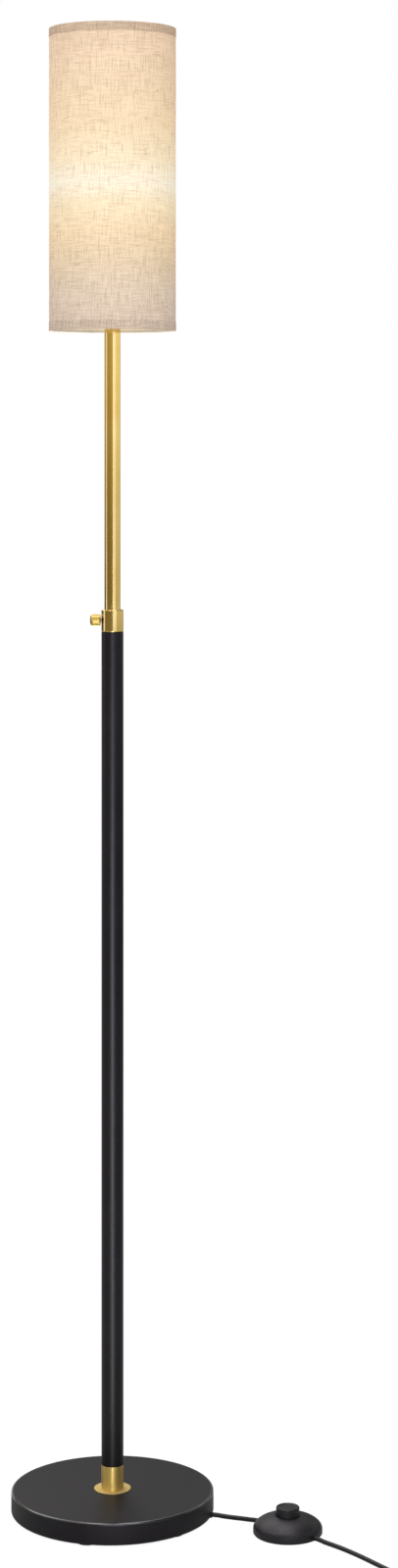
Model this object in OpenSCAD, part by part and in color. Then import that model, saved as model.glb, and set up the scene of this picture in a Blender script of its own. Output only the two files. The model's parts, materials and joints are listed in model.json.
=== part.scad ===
// Telescopic floor lamp: a weighted disc base, a black stand tube, a brass pole that
// slides and turns in a clamp collar, and a tall linen drum shade, with a foot switch.
// Millimetres, +Z up. The origin is on the lamp's axis, on the floor.

/* [Base] */
// Diameter of the pressed cover of the base
base_d = 202; // [170:1:260]
// Height of the cover, from its lower edge to its top
base_h = 21.6; // [18:0.2:34]
// Height of the cover's lower edge above the floor
base_gap = 2; // [1.5:0.1:3]
// Sheet thickness of the cover
cover_t = 1.2; // [0.8:0.1:1.4]
// Radius of the cover's upper edge
cover_top_r = 1.8; // [1.6:0.1:4]
// Radius of the cover's turned-in lower edge
cover_low_r = 2.6; // [2:0.1:4]
// Thickness of the bottom plate
plate_t = 1.2; // [0.8:0.1:2]
// Diameter of each of the pads under the plate
pad_d = 22; // [12:1:30]
// Thickness of a pad
pad_t = 2.6; // [2.2:0.1:4]
// Number of pads
pad_count = 6; // [4:1:8]
// Distance of the pads from the rim of the plate
pad_inset = 1.5; // [1:0.5:6]
// Thickness of the weight over the recess for the nut
web_t = 4.4; // [3:0.2:6]
// Diameter of the recess in the weight
recess_d = 32; // [28:1:44]

/* [Stand tube] */
// Outer diameter of the stand tube, the brass sleeve and the collar
stand_d = 22; // [21:0.5:28]
// Wall of the stand tube
stand_wall = 1; // [0.8:0.1:1.4]
// Length of the stand tube
stand_l = 832; // [560:1:1000]
// Length of the brass sleeve under the tube
sleeve_l = 23.5; // [16:0.5:40]
// Diameter of the brass flange on the base
flange_d = 36.8; // [28:0.2:60]
// Thickness of the flange
flange_t = 1.1; // [0.8:0.1:2]
// Outer diameter of the threaded hollow nipples
nipple_d = 10; // [8:0.5:12]
// Wall of the nipples
nipple_wall = 1.4; // [1:0.1:1.8]

/* [Clamp collar] */
// Length of the brass collar above the stand tube
collar_l = 22; // [18:0.5:34]
// Length of the collar's spigot inside the stand tube
spigot_l = 18; // [12:1:30]
// Wall of the nylon liner between the collar and the pole
liner_t = 0.85; // [0.6:0.05:0.95]
// Width of the slit along the liner
liner_slit = 1.4; // [0.8:0.1:2]
// Height of the thumb screw's axis above the collar's lower end
screw_rise = 11.6; // [9:0.2:14]
// Thread diameter of the thumb screw
screw_d = 5; // [4:0.5:6]
// Diameter of the thumb screw's knob
knob_d = 12; // [9:0.5:16]
// Length of the knob
knob_l = 10.2; // [7:0.2:14]
// Clear length between the knob and the collar
neck_l = 1; // [0.8:0.1:4]
// Number of flutes round the knob
knob_flutes = 12; // [8:1:16]

/* [Pole] */
// Outer diameter of the sliding pole
pole_d = 16; // [13:0.5:17]
// Wall of the pole
pole_wall = 0.8; // [0.7:0.1:1.2]
// Length of the pole that shows between the collar and the shade
pole_show = 278.6; // [276:0.2:420]
// Length of the guide ring at the pole's lower end
guide_l = 12; // [8:1:20]

/* [Lamp holder] */
// Height of the shade's fitter ring above the shade's lower edge
fitter_rise = 60; // [50:1:90]
// Outer diameter of the holder's body
holder_d = 40; // [36:0.5:50]
// Height of the holder under the fitter ring
holder_low_h = 21; // [18:0.5:26]
// Height of the holder's threaded part above the fitter ring
holder_top_h = 25; // [24:0.5:30]
// Wall of the holder
holder_wall = 2.6; // [2:0.1:3]

/* [Bulb] */
// Diameter of the bulb's cap
bulb_cap_d = 26.2; // [22:0.1:31.6]
// Length of the bulb's cap, with its tip
bulb_cap_l = 24; // [23:0.5:26]
// Length of the bulb's body, between cap and globe
bulb_body_l = 45; // [36:1:60]
// Diameter of the bulb's globe
globe_d = 60; // [50:1:72]

/* [Shade] */
// Outer diameter of the shade's linen
shade_d = 126.6; // [104:0.2:200]
// Height of the shade
shade_h = 302; // [200:1:400]
// Thickness of the linen
linen_t = 0.6; // [0.4:0.1:1]
// Thickness of the liner behind the linen
shade_liner_t = 0.4; // [0.3:0.1:1]
// Height of the trim bands
trim_h = 9; // [6:0.5:14]
// Thickness of the trim bands
trim_t = 0.3; // [0.2:0.05:0.6]
// Wire diameter of the shade's rings
ring_wire_d = 3; // [2.4:0.2:4]
// Wire diameter of the spokes
spoke_d = 2.6; // [2:0.2:3]

/* [Foot switch] */
// Diameter of the foot switch
switch_d = 68; // [64:1:80]
// Height of the switch's base tray
tray_h = 5; // [4.6:0.1:7]
// Height of the domed cover above the tray, as if it had no button
dome_h = 14; // [13.6:0.2:18]
// Wall of the tray and the cover
switch_wall = 1.8; // [1.4:0.1:2.2]
// Diameter of the button
button_d = 23; // [20:0.5:26]
// Height of the button above the floor
button_top = 26.2; // [25:0.2:32]
// Travel of the button
button_travel = 3.5; // [2:0.5:4]

/* [Cord and plug] */
// Diameter of the round cord
cord_d = 4.5; // [4:0.1:4.6]
// Height of the cord's axis where it leaves the base
exit_z = 3.6; // [3.5:0.1:4.5]
// Height of the cord's axis where it enters and leaves the switch
switch_cord_z = 3.2; // [3:0.1:4]
// Width of the plug's body
plug_w = 25; // [22:0.5:30]
// Thickness of the plug's body
plug_t = 16.8; // [15:0.2:20]
// Length of the plug's body
plug_l = 28; // [24:1:36]
// Length of the plug's tapered strain relief
relief_l = 20; // [18:1:40]

/* [Hidden] */
$fn = 96;
// Overshoot of a cut past the face that it opens
past = 1;

// Clearances
fit_gap = 0.05;      // between pieces that are pressed or screwed together
turn_gap = 0.05;     // liner in the collar, radial
slide_gap = 0.06;    // pole in the liner, guide ring in the stand tube, radial
seat_gap = 0.3;      // between pieces that meet without touching
weight_gap = 0.5;    // weight inside the cover, radial
plate_gap = 0.4;     // bottom plate inside the cover's lower lip, radial
button_gap = 0.4;    // button in the hole of the cover, radial
skirt_gap = 0.5;     // cartridge inside the button's skirt, radial
cap_gap = 0.3;       // bulb's cap in the screw shell, radial
coil_slack = 0.5;    // between neighbouring turns of the coil

// Colours
BLACK = [0.16, 0.16, 0.17];
BRASS = [0.83, 0.67, 0.36];
STEEL = [0.70, 0.71, 0.73];
IRON = [0.32, 0.32, 0.34];
RUBBER = [0.09, 0.09, 0.10];
NYLON = [0.88, 0.87, 0.82];
CERAMIC = [0.93, 0.92, 0.88];
LINEN = [0.88, 0.80, 0.69];
TRIM = [0.80, 0.71, 0.59];
WHITE = [0.96, 0.95, 0.92];
DARK = [0.13, 0.13, 0.14];

// Base, from the floor up
base_r = base_d / 2;
plate_z = pad_t;
weight_z = plate_z + plate_t;
cover_z = base_gap;
base_top = base_gap + base_h;
weight_top = base_top - cover_t;
weight_edge = cover_top_r;
web_z = weight_top - web_t;
plate_r = base_r - cover_low_r - plate_gap;
pad_ring_r = plate_r - pad_inset - pad_d / 2;
pad_turn = -105;
washer_t = 1.5;
washer_d = nipple_d + 14;
nut_t = 3.5;
nut_across = nipple_d + 7;
nipple_r = nipple_d / 2;
nipple_bore_r = nipple_r - nipple_wall;
nut_z = web_z - washer_t - nut_t;
nipple_z = nut_z - 0.8;
plate_screws_at = [3, 50];
plate_screw_r = 62;
plate_screw_d = 4;
plate_screw_l = 9;
plate_screw_head_r = 3.6;
plate_screw_head_h = 1.6;

// Stand, upwards from the base
stand_r = stand_d / 2;
stand_bore_r = stand_r - stand_wall;
sleeve_z = base_top + flange_t;
stand_z = sleeve_z + sleeve_l;
collar_z = stand_z + stand_l;
collar_top = collar_z + collar_l;
sleeve_web_t = 3;
foot_plug_l = 12;
foot_spigot_l = 4;
nipple_top = stand_z + foot_plug_l - 1;

// Clamp: pole in liner, liner in collar
pole_r = pole_d / 2;
liner_bore_r = pole_r + slide_gap;
liner_r = liner_bore_r + liner_t;
collar_bore_r = liner_r + turn_gap;
collar_lip = 1.6;
spigot_z = collar_z - spigot_l;
spigot_r = stand_bore_r - fit_gap;
liner_lip_t = 1.8;
liner_lip_z = spigot_z - seat_gap - liner_lip_t;
liner_top = collar_top - collar_lip - seat_gap;
liner_lip_r = stand_bore_r - seat_gap;
screw_z = collar_z + screw_rise;
screw_tip = liner_r + turn_gap;
knob_in = stand_r + neck_l;
knob_out = knob_in + knob_l;
knob_in_r = knob_d * 0.14;
knob_out_r = knob_d * 0.27;
flute_r = 1.2;

// Pole
guide_top = liner_lip_z - seat_gap;
guide_z = guide_top - guide_l;
guide_r = stand_bore_r - slide_gap;
guide_floor = 2;
pole_z = guide_z + guide_floor;
pole_bore_r = pole_r - pole_wall;
shade_z = collar_top + pole_show;
shade_top = shade_z + shade_h;
fitter_z = shade_z + fitter_rise;
holder_z = fitter_z - holder_low_h;
head_plug_l = 12;
head_nipple_up = 6;

// Holder
holder_r = holder_d / 2;
holder_cap_h = 12;
shoulder_t = 2.4;
shoulder_w = 2;
thread_r = holder_r - 0.4;
holder_bore_r = thread_r - holder_wall;
core_t = 7;
core_wire_hole_r = 1.7;
core_rivet_hole_r = 3;
core_top = fitter_z - 1;
core_z = core_top - core_t;
shell_wall = 0.5;
shell_floor_hole_r = 7;
shell_bore_r = bulb_cap_d / 2 + cap_gap;
shell_r = shell_bore_r + shell_wall;
fitter_t = 1.6;
fitter_w = 4.6;
fitter_bore_r = thread_r + seat_gap;
clamp_ring_h = 7;
clamp_ring_w = 4.4;
clamp_ring_grips = 18;
clamp_ring_grip_r = 1.1;
contact_t = 0.6;
contact_rise = 1.6;
bulb_z = core_top + contact_rise + contact_t + 0.3;
bulb_rib_pitch = 3.2;
bulb_rib_depth = 0.9;
bulb_body_z = bulb_z + bulb_cap_l;
globe_r = globe_d / 2;
globe_seat_r = globe_r - 1.4;
globe_z = bulb_body_z + bulb_body_l;
globe_mid = globe_z + sqrt(globe_r * globe_r - globe_seat_r * globe_seat_r);
globe_wall = 1;

// Shade
shade_r = shade_d / 2;
shade_in_r = shade_r - linen_t;
liner_in_r = shade_in_r - shade_liner_t;
ring_r = liner_in_r - trim_t - 0.1 - ring_wire_d / 2;
ring_rise = trim_t + 0.2 + ring_wire_d / 2;
spoke_count = 3;
spoke_turn = 90;

// Foot switch: its place, its turn about Z, and its inside
switch_at = [173.5, -59, 0];
switch_turn = -42;
switch_r = switch_d / 2;
button_r = button_d / 2;
hole_r = button_r + button_gap;
tray_floor = 1.6;
lip_w = 4.4;
lip_z = tray_h + dome_h * sqrt(1 - pow((hole_r + lip_w) / switch_r, 2)) - switch_wall - 0.5;
button_flange_r = hole_r + 2.6;
button_flange_t = 1.4;
button_flange_top = lip_z - seat_gap;
button_roof = 2.4;
button_edge_r = 1.2;
button_ring_w = 1.5;
plunger_d = 6;
cartridge_r = button_r - switch_wall - skirt_gap;
cartridge = [1.52 * cartridge_r, 1.3 * cartridge_r, 10.4];
cartridge_top = tray_floor + cartridge[2];
plunger_z = cartridge_top - 4;
spring_wire_d = 0.9;
spring_r = 5.4;
spring_turns = 5;
boss_at = switch_r * 0.66;
boss_r = 3.6;
switch_screw_d = 2.8;
bush_l = 8;
bush_r = cord_d / 2 + 0.6;

// Cord: the hand-chosen routes of its two free stretches on the floor and of its tail
exit_turn = -10;
base_bush_l = 20;
base_bush_r = cord_d / 2 + 1;
lead_bend_r = nipple_z - exit_z - 0.6;
lamp_side_route = [
    [99.5, -17.5, 3.6], [104, -18.3, 3.5], [112, -19.9, 2.7], [120, -21.8, 2.3],
    [128, -24.5, 2.3], [136, -28, 2.5], [144.8, -33.3, 3.2], [148.1, -36.3, 3.2]
];
plug_side_route = [
    [198.8, -81.8, 3.2], [202.1, -84.8, 3.2], [208.8, -91, 2.4], [216, -98.2, 2.3],
    [224.2, -107.1, 2.3], [232.4, -117, 2.3], [240.3, -127.3, 2.3], [247.8, -137.8, 2.3],
    [255, -148.2, 2.3], [262, -158.3, 2.3], [269.2, -168.6, 2.4], [276.4, -178.9, 2.8],
    [280.9, -185.3, 2.9], [283.5, -189, 2.9]
];
tail_route = [
    [340.65, -159.19, 17.9], [339.2, -155, 17.7], [337, -147, 15.7], [335.4, -138.5, 12.8],
    [334.3, -130, 10], [334, -122.5, 8.6], [334, -118, 8.6]
];

// Coil: piled loops that spiral in and out again in four layers, raised by the tie under them
coil_heading = -55;
coil_layers = 4;
coil_pitch = cord_d + coil_slack;
coil_mid_r = 26;
coil_turns = 9 + 165 / 360;
coil_rings = 24;
coil_sides = 6;
coil_layer_turns = coil_turns / coil_layers;
coil_out_r = coil_mid_r + coil_layer_turns * coil_pitch / 2;
coil_start = plug_side_route[len(plug_side_route) - 1];
coil_first_turn = coil_heading - 90;
coil_touch = coil_start + cord_d * [cos(coil_heading), sin(coil_heading), 0];
coil_mid = coil_touch - coil_out_r * [cos(coil_first_turn), sin(coil_first_turn), 0];

// Plug
plug_at = tail_route[len(tail_route) - 1];
blade_pitch = 12.7;
blade_t = 1.5;
blade_l = 17.5;
blade_w = 6.4;
blade_hole_d = 3.2;
relief_grooves = 4;
relief_groove_w = 1.4;

// ---- Points and sweeps ----

function oval(cx, cy, rx, ry, a0, a1, steps) =
    [for (i = [0 : steps]) let (a = a0 + (a1 - a0) * i / steps) [cx + rx * cos(a), cy + ry * sin(a)]];
function arc(cx, cy, r, a0, a1, steps) = oval(cx, cy, r, r, a0, a1, steps);

function unit(v) = v / norm(v);

// Direction of a path at one of its points
function heading(path, i) =
    i == 0 ? unit(path[1] - path[0])
    : i == len(path) - 1 ? unit(path[i] - path[i - 1])
    : unit(unit(path[i] - path[i - 1]) + unit(path[i + 1] - path[i]));

// Corners of one ring of a tube, square to the path
function ring_of(centre, along, r, sides) =
    let (across = unit(cross(along, [0, 0, 1])), up = cross(across, along))
    [for (k = [0 : sides - 1]) centre + r * (cos(360 * k / sides) * across + sin(360 * k / sides) * up)];

function tube_points(path, r, sides) =
    [for (i = [0 : len(path) - 1]) each ring_of(path[i], heading(path, i), r, sides)];

// Triangles of a tube: its wall, then a fan on each end
function tube_faces(rings, sides) = [
    for (i = [0 : rings - 2], k = [0 : sides - 1])
        let (a = i * sides, b = a + sides, n = (k + 1) % sides)
        each [[a + k, a + n, b + n], [a + k, b + n, b + k]],
    for (k = [1 : sides - 2]) [0, k + 1, k],
    for (k = [1 : sides - 2]) let (c = (rings - 1) * sides) [c, c + k, c + k + 1]
];

module tube(path, d, sides) {
    polyhedron(tube_points(path, d / 2, sides), tube_faces(len(path), sides), convexity = 6);
}

function ease(t) = let (s = min(max(t, 0), 1)) s * s * (3 - 2 * s);

// The coil's radius and height after a number of turns: it climbs in the half turn
// in which the spiral reverses
function coil_r(turn) =
    let (w = turn - 2 * coil_layer_turns * floor(turn / (2 * coil_layer_turns)))
    coil_out_r - coil_pitch * min(w, 2 * coil_layer_turns - w);
function climbs(turn, k = 1) =
    k >= coil_layers ? 0 : ease((turn - k * coil_layer_turns + 0.25) / 0.5) + climbs(turn, k + 1);
function coil_at(turn) =
    let (a = coil_first_turn + 360 * turn)
    coil_mid + [coil_r(turn) * cos(a), coil_r(turn) * sin(a), coil_pitch * climbs(turn)];

coil_steps = round(coil_turns * coil_rings);
coil_loops = [for (i = [0 : coil_steps]) coil_at(i * coil_turns / coil_steps)];
coil_last = coil_first_turn + 360 * coil_turns + 90;
coil_end = coil_loops[coil_steps] + cord_d * [cos(coil_last), sin(coil_last), 0];
coil_path = concat([coil_start], coil_loops, [coil_end]);

// Least gap of the coil to itself, over points that are at least half a turn apart
coil_gap = min([
    for (i = [0 : coil_steps])
        for (j = [i + coil_rings / 2 : 1 : coil_steps]) norm(coil_loops[i] - coil_loops[j])
]) - cord_d;

// Lengths of a path's straight steps, and their sum
function run(path) = [for (i = [1 : len(path) - 1]) norm(path[i] - path[i - 1])];
function total(v, i = 0) = i == len(v) ? 0 : v[i] + total(v, i + 1);
echo(coil_gap_to_itself = coil_gap, coil_end = coil_end, coil_mid = coil_mid);
echo(lengths = [total(run(lamp_side_route)), total(run(plug_side_route)), total(run(coil_path)),
    total(run(tail_route))]);

// ---- Shared shapes ----

module pipe(r_out, r_in, z0, z1) {
    translate([0, 0, z0]) difference() {
        cylinder(r = r_out, h = z1 - z0);
        translate([0, 0, -past]) cylinder(r = r_in, h = z1 - z0 + 2 * past);
    }
}

module rod(r, z0, z1) {
    translate([0, 0, z0]) cylinder(r = r, h = z1 - z0);
}

// A cylinder along the ray at an angle about Z, between two distances from the axis
module spoke(r, turn, from, to, z) {
    rotate([0, 0, turn]) translate([from, 0, z]) rotate([0, 90, 0]) cylinder(r = r, h = to - from);
}

module around(count, turn = 0) {
    for (i = [0 : count - 1]) rotate([0, 0, turn + 360 * i / count]) children();
}

// ---- Base ----

module base_pads() color(RUBBER) {
    around(pad_count, pad_turn) translate([pad_ring_r, 0, 0]) rotate_extrude()
        polygon([[0, 0], [pad_d / 2 - 0.6, 0], [pad_d / 2, 0.6], [pad_d / 2, pad_t], [0, pad_t]]);
}

module base_plate() color(STEEL) {
    difference() {
        rod(plate_r, plate_z, plate_z + plate_t);
        rod(recess_d / 2, plate_z - past, plate_z + plate_t + past);
        rotate([0, 0, exit_turn]) translate([0, -base_bush_r - 0.2, plate_z - past])
            cube([base_d, 2 * base_bush_r + 0.4, plate_t + 2 * past]);
        around(plate_screws_at[0], plate_screws_at[1]) translate([plate_screw_r, 0, 0])
            rod(plate_screw_d / 2 + 0.3, plate_z - past, plate_z + plate_t + past);
    }
}

module plate_screws() color(STEEL) {
    around(plate_screws_at[0], plate_screws_at[1]) translate([plate_screw_r, 0, 0]) rotate_extrude()
        polygon([[0, plate_z - plate_screw_head_h],
            [plate_screw_head_r - 1.4, plate_z - plate_screw_head_h],
            [plate_screw_head_r, plate_z - plate_screw_head_h + 1], [plate_screw_head_r, plate_z],
            [plate_screw_d / 2, plate_z], [plate_screw_d / 2, plate_z + plate_screw_l],
            [0, plate_z + plate_screw_l + 1]]);
}

module base_weight() color(IRON) {
    edge_r = base_r - cover_t - weight_gap;
    difference() {
        rotate_extrude() polygon([[0, weight_z], [edge_r, weight_z], [edge_r, weight_top - weight_edge],
            [edge_r - weight_edge, weight_top], [0, weight_top]]);
        rod(recess_d / 2, weight_z - past, web_z);
        rod(nipple_r + fit_gap, web_z - past, weight_top + past);
        rotate([0, 0, exit_turn]) translate([0, -base_bush_r - 0.2, weight_z - past])
            cube([base_d, 2 * base_bush_r + 0.4, exit_z + base_bush_r + 0.2 - weight_z + past]);
        around(plate_screws_at[0], plate_screws_at[1]) translate([plate_screw_r, 0, 0])
            rod(plate_screw_d / 2 + fit_gap, weight_z - past, plate_z + plate_screw_l + 2);
    }
}

// Pressed sheet with a rounded upper edge and a lower edge that is turned in
module base_cover() color(BLACK) {
    difference() {
        rotate_extrude() polygon(concat(
            [[nipple_r + fit_gap, weight_top], [nipple_r + fit_gap, base_top]],
            arc(base_r - cover_top_r, base_top - cover_top_r, cover_top_r, 90, 0, 6),
            arc(base_r - cover_low_r, cover_z + cover_low_r, cover_low_r, 0, -90, 6),
            arc(base_r - cover_low_r, cover_z + cover_low_r, cover_low_r - cover_t, -90, 0, 6),
            arc(base_r - cover_top_r, base_top - cover_top_r, cover_top_r - cover_t, 0, 90, 6)
        ));
        spoke(base_bush_r, exit_turn, base_r / 2, base_r + past, exit_z);
        rotate([0, 0, exit_turn]) translate([base_r / 2, -base_bush_r, -past])
            cube([base_r, 2 * base_bush_r, exit_z + past]);
    }
}

module base_flange() color(BRASS) {
    rotate_extrude() polygon([[nipple_r + fit_gap, base_top], [flange_d / 2, base_top],
        [flange_d / 2, base_top + flange_t - 0.3], [flange_d / 2 - 0.3, base_top + flange_t],
        [nipple_r + fit_gap, base_top + flange_t]]);
}

module base_nipple() color(STEEL) {
    pipe(nipple_r, nipple_bore_r, nipple_z, nipple_top);
}

module base_nut() color(STEEL) {
    difference() {
        translate([0, 0, nut_z]) cylinder(d = nut_across / cos(30), h = nut_t, $fn = 6);
        rod(nipple_r + fit_gap, nut_z - past, web_z);
    }
}

module base_washer() color(STEEL) {
    pipe(washer_d / 2, nipple_r + fit_gap, web_z - washer_t, web_z);
}

module base_sleeve() color(BRASS) {
    rotate_extrude() polygon([[nipple_r + fit_gap, sleeve_z], [stand_r, sleeve_z],
        [stand_r, stand_z - 0.3], [stand_r - 0.3, stand_z], [stand_bore_r - 0.5, stand_z],
        [stand_bore_r - 0.5, sleeve_z + sleeve_web_t], [nipple_r + fit_gap, sleeve_z + sleeve_web_t]]);
}

// Threaded plug that joins the stand tube to the nipple, with a spigot in the sleeve
module foot_plug() color(STEEL) {
    difference() {
        union() {
            rod(stand_bore_r - fit_gap, stand_z, stand_z + foot_plug_l);
            rod(stand_bore_r - 0.5 - fit_gap, stand_z - foot_spigot_l, stand_z + past);
        }
        rod(nipple_r + fit_gap, stand_z - foot_spigot_l - past, stand_z + foot_plug_l + past);
    }
}

module stand_tube() color(BLACK) {
    pipe(stand_r, stand_bore_r, stand_z, collar_z);
}

// ---- Clamp collar, liner and thumb screw ----

module clamp_collar() color(BRASS) {
    difference() {
        rotate_extrude() polygon([[collar_bore_r, spigot_z], [spigot_r - 0.5, spigot_z],
            [spigot_r, spigot_z + 0.5], [spigot_r, collar_z], [stand_r - 0.5, collar_z],
            [stand_r, collar_z + 0.9], [stand_r, collar_top - 0.4], [stand_r - 0.4, collar_top],
            [pole_r + seat_gap, collar_top], [pole_r + seat_gap, collar_top - collar_lip],
            [collar_bore_r, collar_top - collar_lip]]);
        spoke(screw_d / 2, 180, pole_r, stand_r + past, screw_z);
    }
}

// Split nylon liner, held from below by its lip
module slide_liner() color(NYLON) {
    difference() {
        rotate_extrude() polygon([[liner_bore_r, liner_lip_z], [liner_lip_r, liner_lip_z],
            [liner_lip_r, liner_lip_z + liner_lip_t], [liner_r, liner_lip_z + liner_lip_t],
            [liner_r, liner_top], [liner_bore_r, liner_top]]);
        translate([0, -liner_slit / 2, liner_lip_z - past])
            cube([stand_r, liner_slit, liner_top - liner_lip_z + 2 * past]);
    }
}

// Fluted knob, rounder at its outer end, a thin neck and the screw's shank
module thumb_screw() color(BRASS) {
    translate([0, 0, screw_z]) rotate([0, -90, 0]) {
        difference() {
            rotate_extrude() polygon(concat(
                [[0, knob_in]],
                arc(knob_d / 2 - knob_in_r, knob_in + knob_in_r, knob_in_r, -90, 0, 5),
                arc(knob_d / 2 - knob_out_r, knob_out - knob_out_r, knob_out_r, 0, 90, 7),
                [[0, knob_out]]
            ));
            around(knob_flutes) translate([knob_d / 2 + 0.5, 0, knob_in - past])
                cylinder(r = flute_r, h = knob_l + 2 * past);
        }
        rod(screw_d / 2 - 0.7, stand_r - 0.4, knob_in + past);
        rod(screw_d / 2 - fit_gap, screw_tip, stand_r - 0.4);
    }
}

// ---- Leads inside the lamp ----

module cord_bush() color(RUBBER) {
    rotate([0, 0, exit_turn]) translate([base_r, 0, exit_z]) rotate([0, -90, 0])
        cylinder(r1 = base_bush_r - fit_gap, r2 = cord_d / 2 + 0.3, h = base_bush_l);
}

module base_lead() color(DARK) {
    bend_z = exit_z + lead_bend_r;
    spoke(cord_d / 2, exit_turn, lead_bend_r, base_r - base_bush_l, exit_z);
    rotate([0, 0, exit_turn]) translate([lead_bend_r, 0, bend_z]) rotate([90, 0, 0])
        rotate([0, 0, 180]) rotate_extrude(angle = 90) translate([lead_bend_r, 0]) circle(d = cord_d);
    rod(cord_d / 2, bend_z, nipple_top);
}

module stand_lead() color(DARK) {
    rod(cord_d / 2, nipple_top, guide_z);
}

module pole_lead() color(DARK) {
    rod(cord_d / 2, guide_z, holder_z + head_nipple_up + 2);
}

// ---- Pole ----

module pole_tube() color(BRASS) {
    pipe(pole_r, pole_bore_r, pole_z, holder_z);
}

// Guide ring on the pole's lower end, which also stops the pole under the liner
module guide_ring() color(NYLON) {
    rotate_extrude() polygon([[pole_bore_r - 1, guide_z], [guide_r - 0.8, guide_z],
        [guide_r, guide_z + 0.8], [guide_r, guide_top - 0.8], [guide_r - 0.8, guide_top],
        [pole_r + fit_gap, guide_top], [pole_r + fit_gap, guide_z + guide_floor],
        [pole_bore_r - 1, guide_z + guide_floor]]);
}

module head_plug() color(STEEL) {
    pipe(pole_bore_r - fit_gap, nipple_r + fit_gap, holder_z - head_plug_l, holder_z);
}

module head_nipple() color(STEEL) {
    pipe(nipple_r, nipple_bore_r, holder_z - head_plug_l + 2, holder_z + head_nipple_up);
}

// ---- Lamp holder ----

// Domed lower cap of the holder, screwed on the nipple
module holder_cap() color(DARK) {
    neck_r = nipple_r + 3.4;
    neck_h = 2;
    rim_z = holder_z + holder_cap_h;
    dome_r = holder_r - neck_r;
    dome_h = holder_cap_h - neck_h;
    rotate_extrude() polygon(concat(
        [[nipple_r + fit_gap, holder_z], [neck_r, holder_z]],
        oval(neck_r, rim_z, dome_r, dome_h, -90, 0, 10),
        oval(neck_r, rim_z, dome_r - holder_wall, dome_h - holder_wall, 0, -90, 10),
        [[nipple_r + fit_gap, holder_z + neck_h + holder_wall]]
    ));
}

// Body of the holder: a shoulder carries the shade's fitter, the part above is threaded
module holder_body() color(DARK) {
    rotate_extrude() polygon([
        [holder_bore_r - 2, holder_z + holder_cap_h], [holder_r, holder_z + holder_cap_h],
        [holder_r, fitter_z - shoulder_t - shoulder_w], [holder_r + shoulder_w, fitter_z - shoulder_t],
        [holder_r + shoulder_w, fitter_z], [thread_r, fitter_z],
        [thread_r, fitter_z + holder_top_h - 1], [thread_r - 1, fitter_z + holder_top_h],
        [holder_bore_r, fitter_z + holder_top_h], [holder_bore_r, core_z],
        [holder_bore_r - 2, core_z]]);
}

module holder_core() color(CERAMIC) {
    difference() {
        rod(holder_bore_r - 0.15, core_z, core_top);
        around(2) translate([holder_bore_r * 0.62, 0, 0])
            rod(core_wire_hole_r, core_z - past, core_top + past);
        rod(core_rivet_hole_r, core_z - past, core_z + 3);
    }
}

module screw_shell() color(BRASS) {
    difference() {
        rod(shell_r, core_top, fitter_z + holder_top_h - 2);
        rod(shell_bore_r, core_top + shell_wall, fitter_z + holder_top_h);
        rod(shell_floor_hole_r, core_top - past, core_top + 2 * shell_wall);
    }
}

// Sprung tongue that meets the bulb's tip
module centre_contact() color(BRASS) {
    translate([-5, -2.5, core_top]) cube([10, 5, contact_t]);
    translate([-1, -2.5, core_top + contact_t - 0.1]) cube([contact_t, 5, contact_rise]);
    translate([-4, -2.5, core_top + contact_rise]) cube([7, 5, contact_t]);
}

module clamp_ring() color(DARK) {
    low_z = fitter_z + fitter_t;
    high_z = low_z + clamp_ring_h;
    difference() {
        pipe(thread_r + clamp_ring_w, thread_r + fit_gap, low_z, high_z);
        around(clamp_ring_grips) translate([thread_r + clamp_ring_w + 0.5, 0, 0])
            rod(clamp_ring_grip_r, low_z + 1.6, high_z + past);
    }
}

// ---- Shade ----

module wire_ring(z) {
    translate([0, 0, z]) rotate_extrude() translate([ring_r, 0]) circle(d = ring_wire_d, $fn = 32);
}

// Fitter ring, sloping spokes and the lower ring, welded into one frame
module shade_frame() color(STEEL) {
    low_z = shade_z + ring_rise;
    top_r = fitter_bore_r + fitter_w - 1.4;
    drop = fitter_z + fitter_t / 2 - low_z;
    reach = ring_r - top_r;
    pipe(fitter_bore_r + fitter_w, fitter_bore_r, fitter_z, fitter_z + fitter_t);
    around(spoke_count, spoke_turn) translate([top_r, 0, fitter_z + fitter_t / 2])
        rotate([0, 90 + atan2(drop, reach), 0]) cylinder(d = spoke_d, h = norm([reach, drop]), $fn = 32);
    wire_ring(low_z);
}

module shade_top_ring() color(STEEL) {
    wire_ring(shade_top - ring_rise);
}

module shade_liner() color(WHITE) {
    pipe(shade_in_r, liner_in_r, shade_z + trim_t, shade_top - trim_t);
}

module shade_linen() color(LINEN) {
    pipe(shade_r, shade_in_r, shade_z + trim_t, shade_top - trim_t);
}

// Bands folded over the shade's two edges
module shade_trims() color(TRIM) {
    for (side = [0, 1]) translate([0, 0, side ? shade_top : shade_z]) mirror([0, 0, side])
        rotate_extrude() polygon([[shade_r, trim_t], [shade_r, trim_h], [shade_r + trim_t, trim_h],
            [shade_r + trim_t, 0], [liner_in_r - trim_t, 0], [liner_in_r - trim_t, trim_h],
            [liner_in_r, trim_h], [liner_in_r, trim_t]]);
}

// ---- Bulb ----

module bulb_cap() color(BRASS) {
    crest = bulb_cap_d / 2;
    root = crest - bulb_rib_depth;
    rib_z = bulb_z + 5.6;
    rotate_extrude() polygon(concat(
        [[0, bulb_z], [4, bulb_z], [4.6, bulb_z + 1], [8, bulb_z + 3.4], [root - 0.7, bulb_z + 5]],
        [for (i = [0 : 4]) each
            [[root, rib_z + i * bulb_rib_pitch], [crest, rib_z + (i + 0.5) * bulb_rib_pitch]]],
        [[root, rib_z + 5 * bulb_rib_pitch], [root, bulb_body_z], [0, bulb_body_z]]
    ));
}

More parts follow.
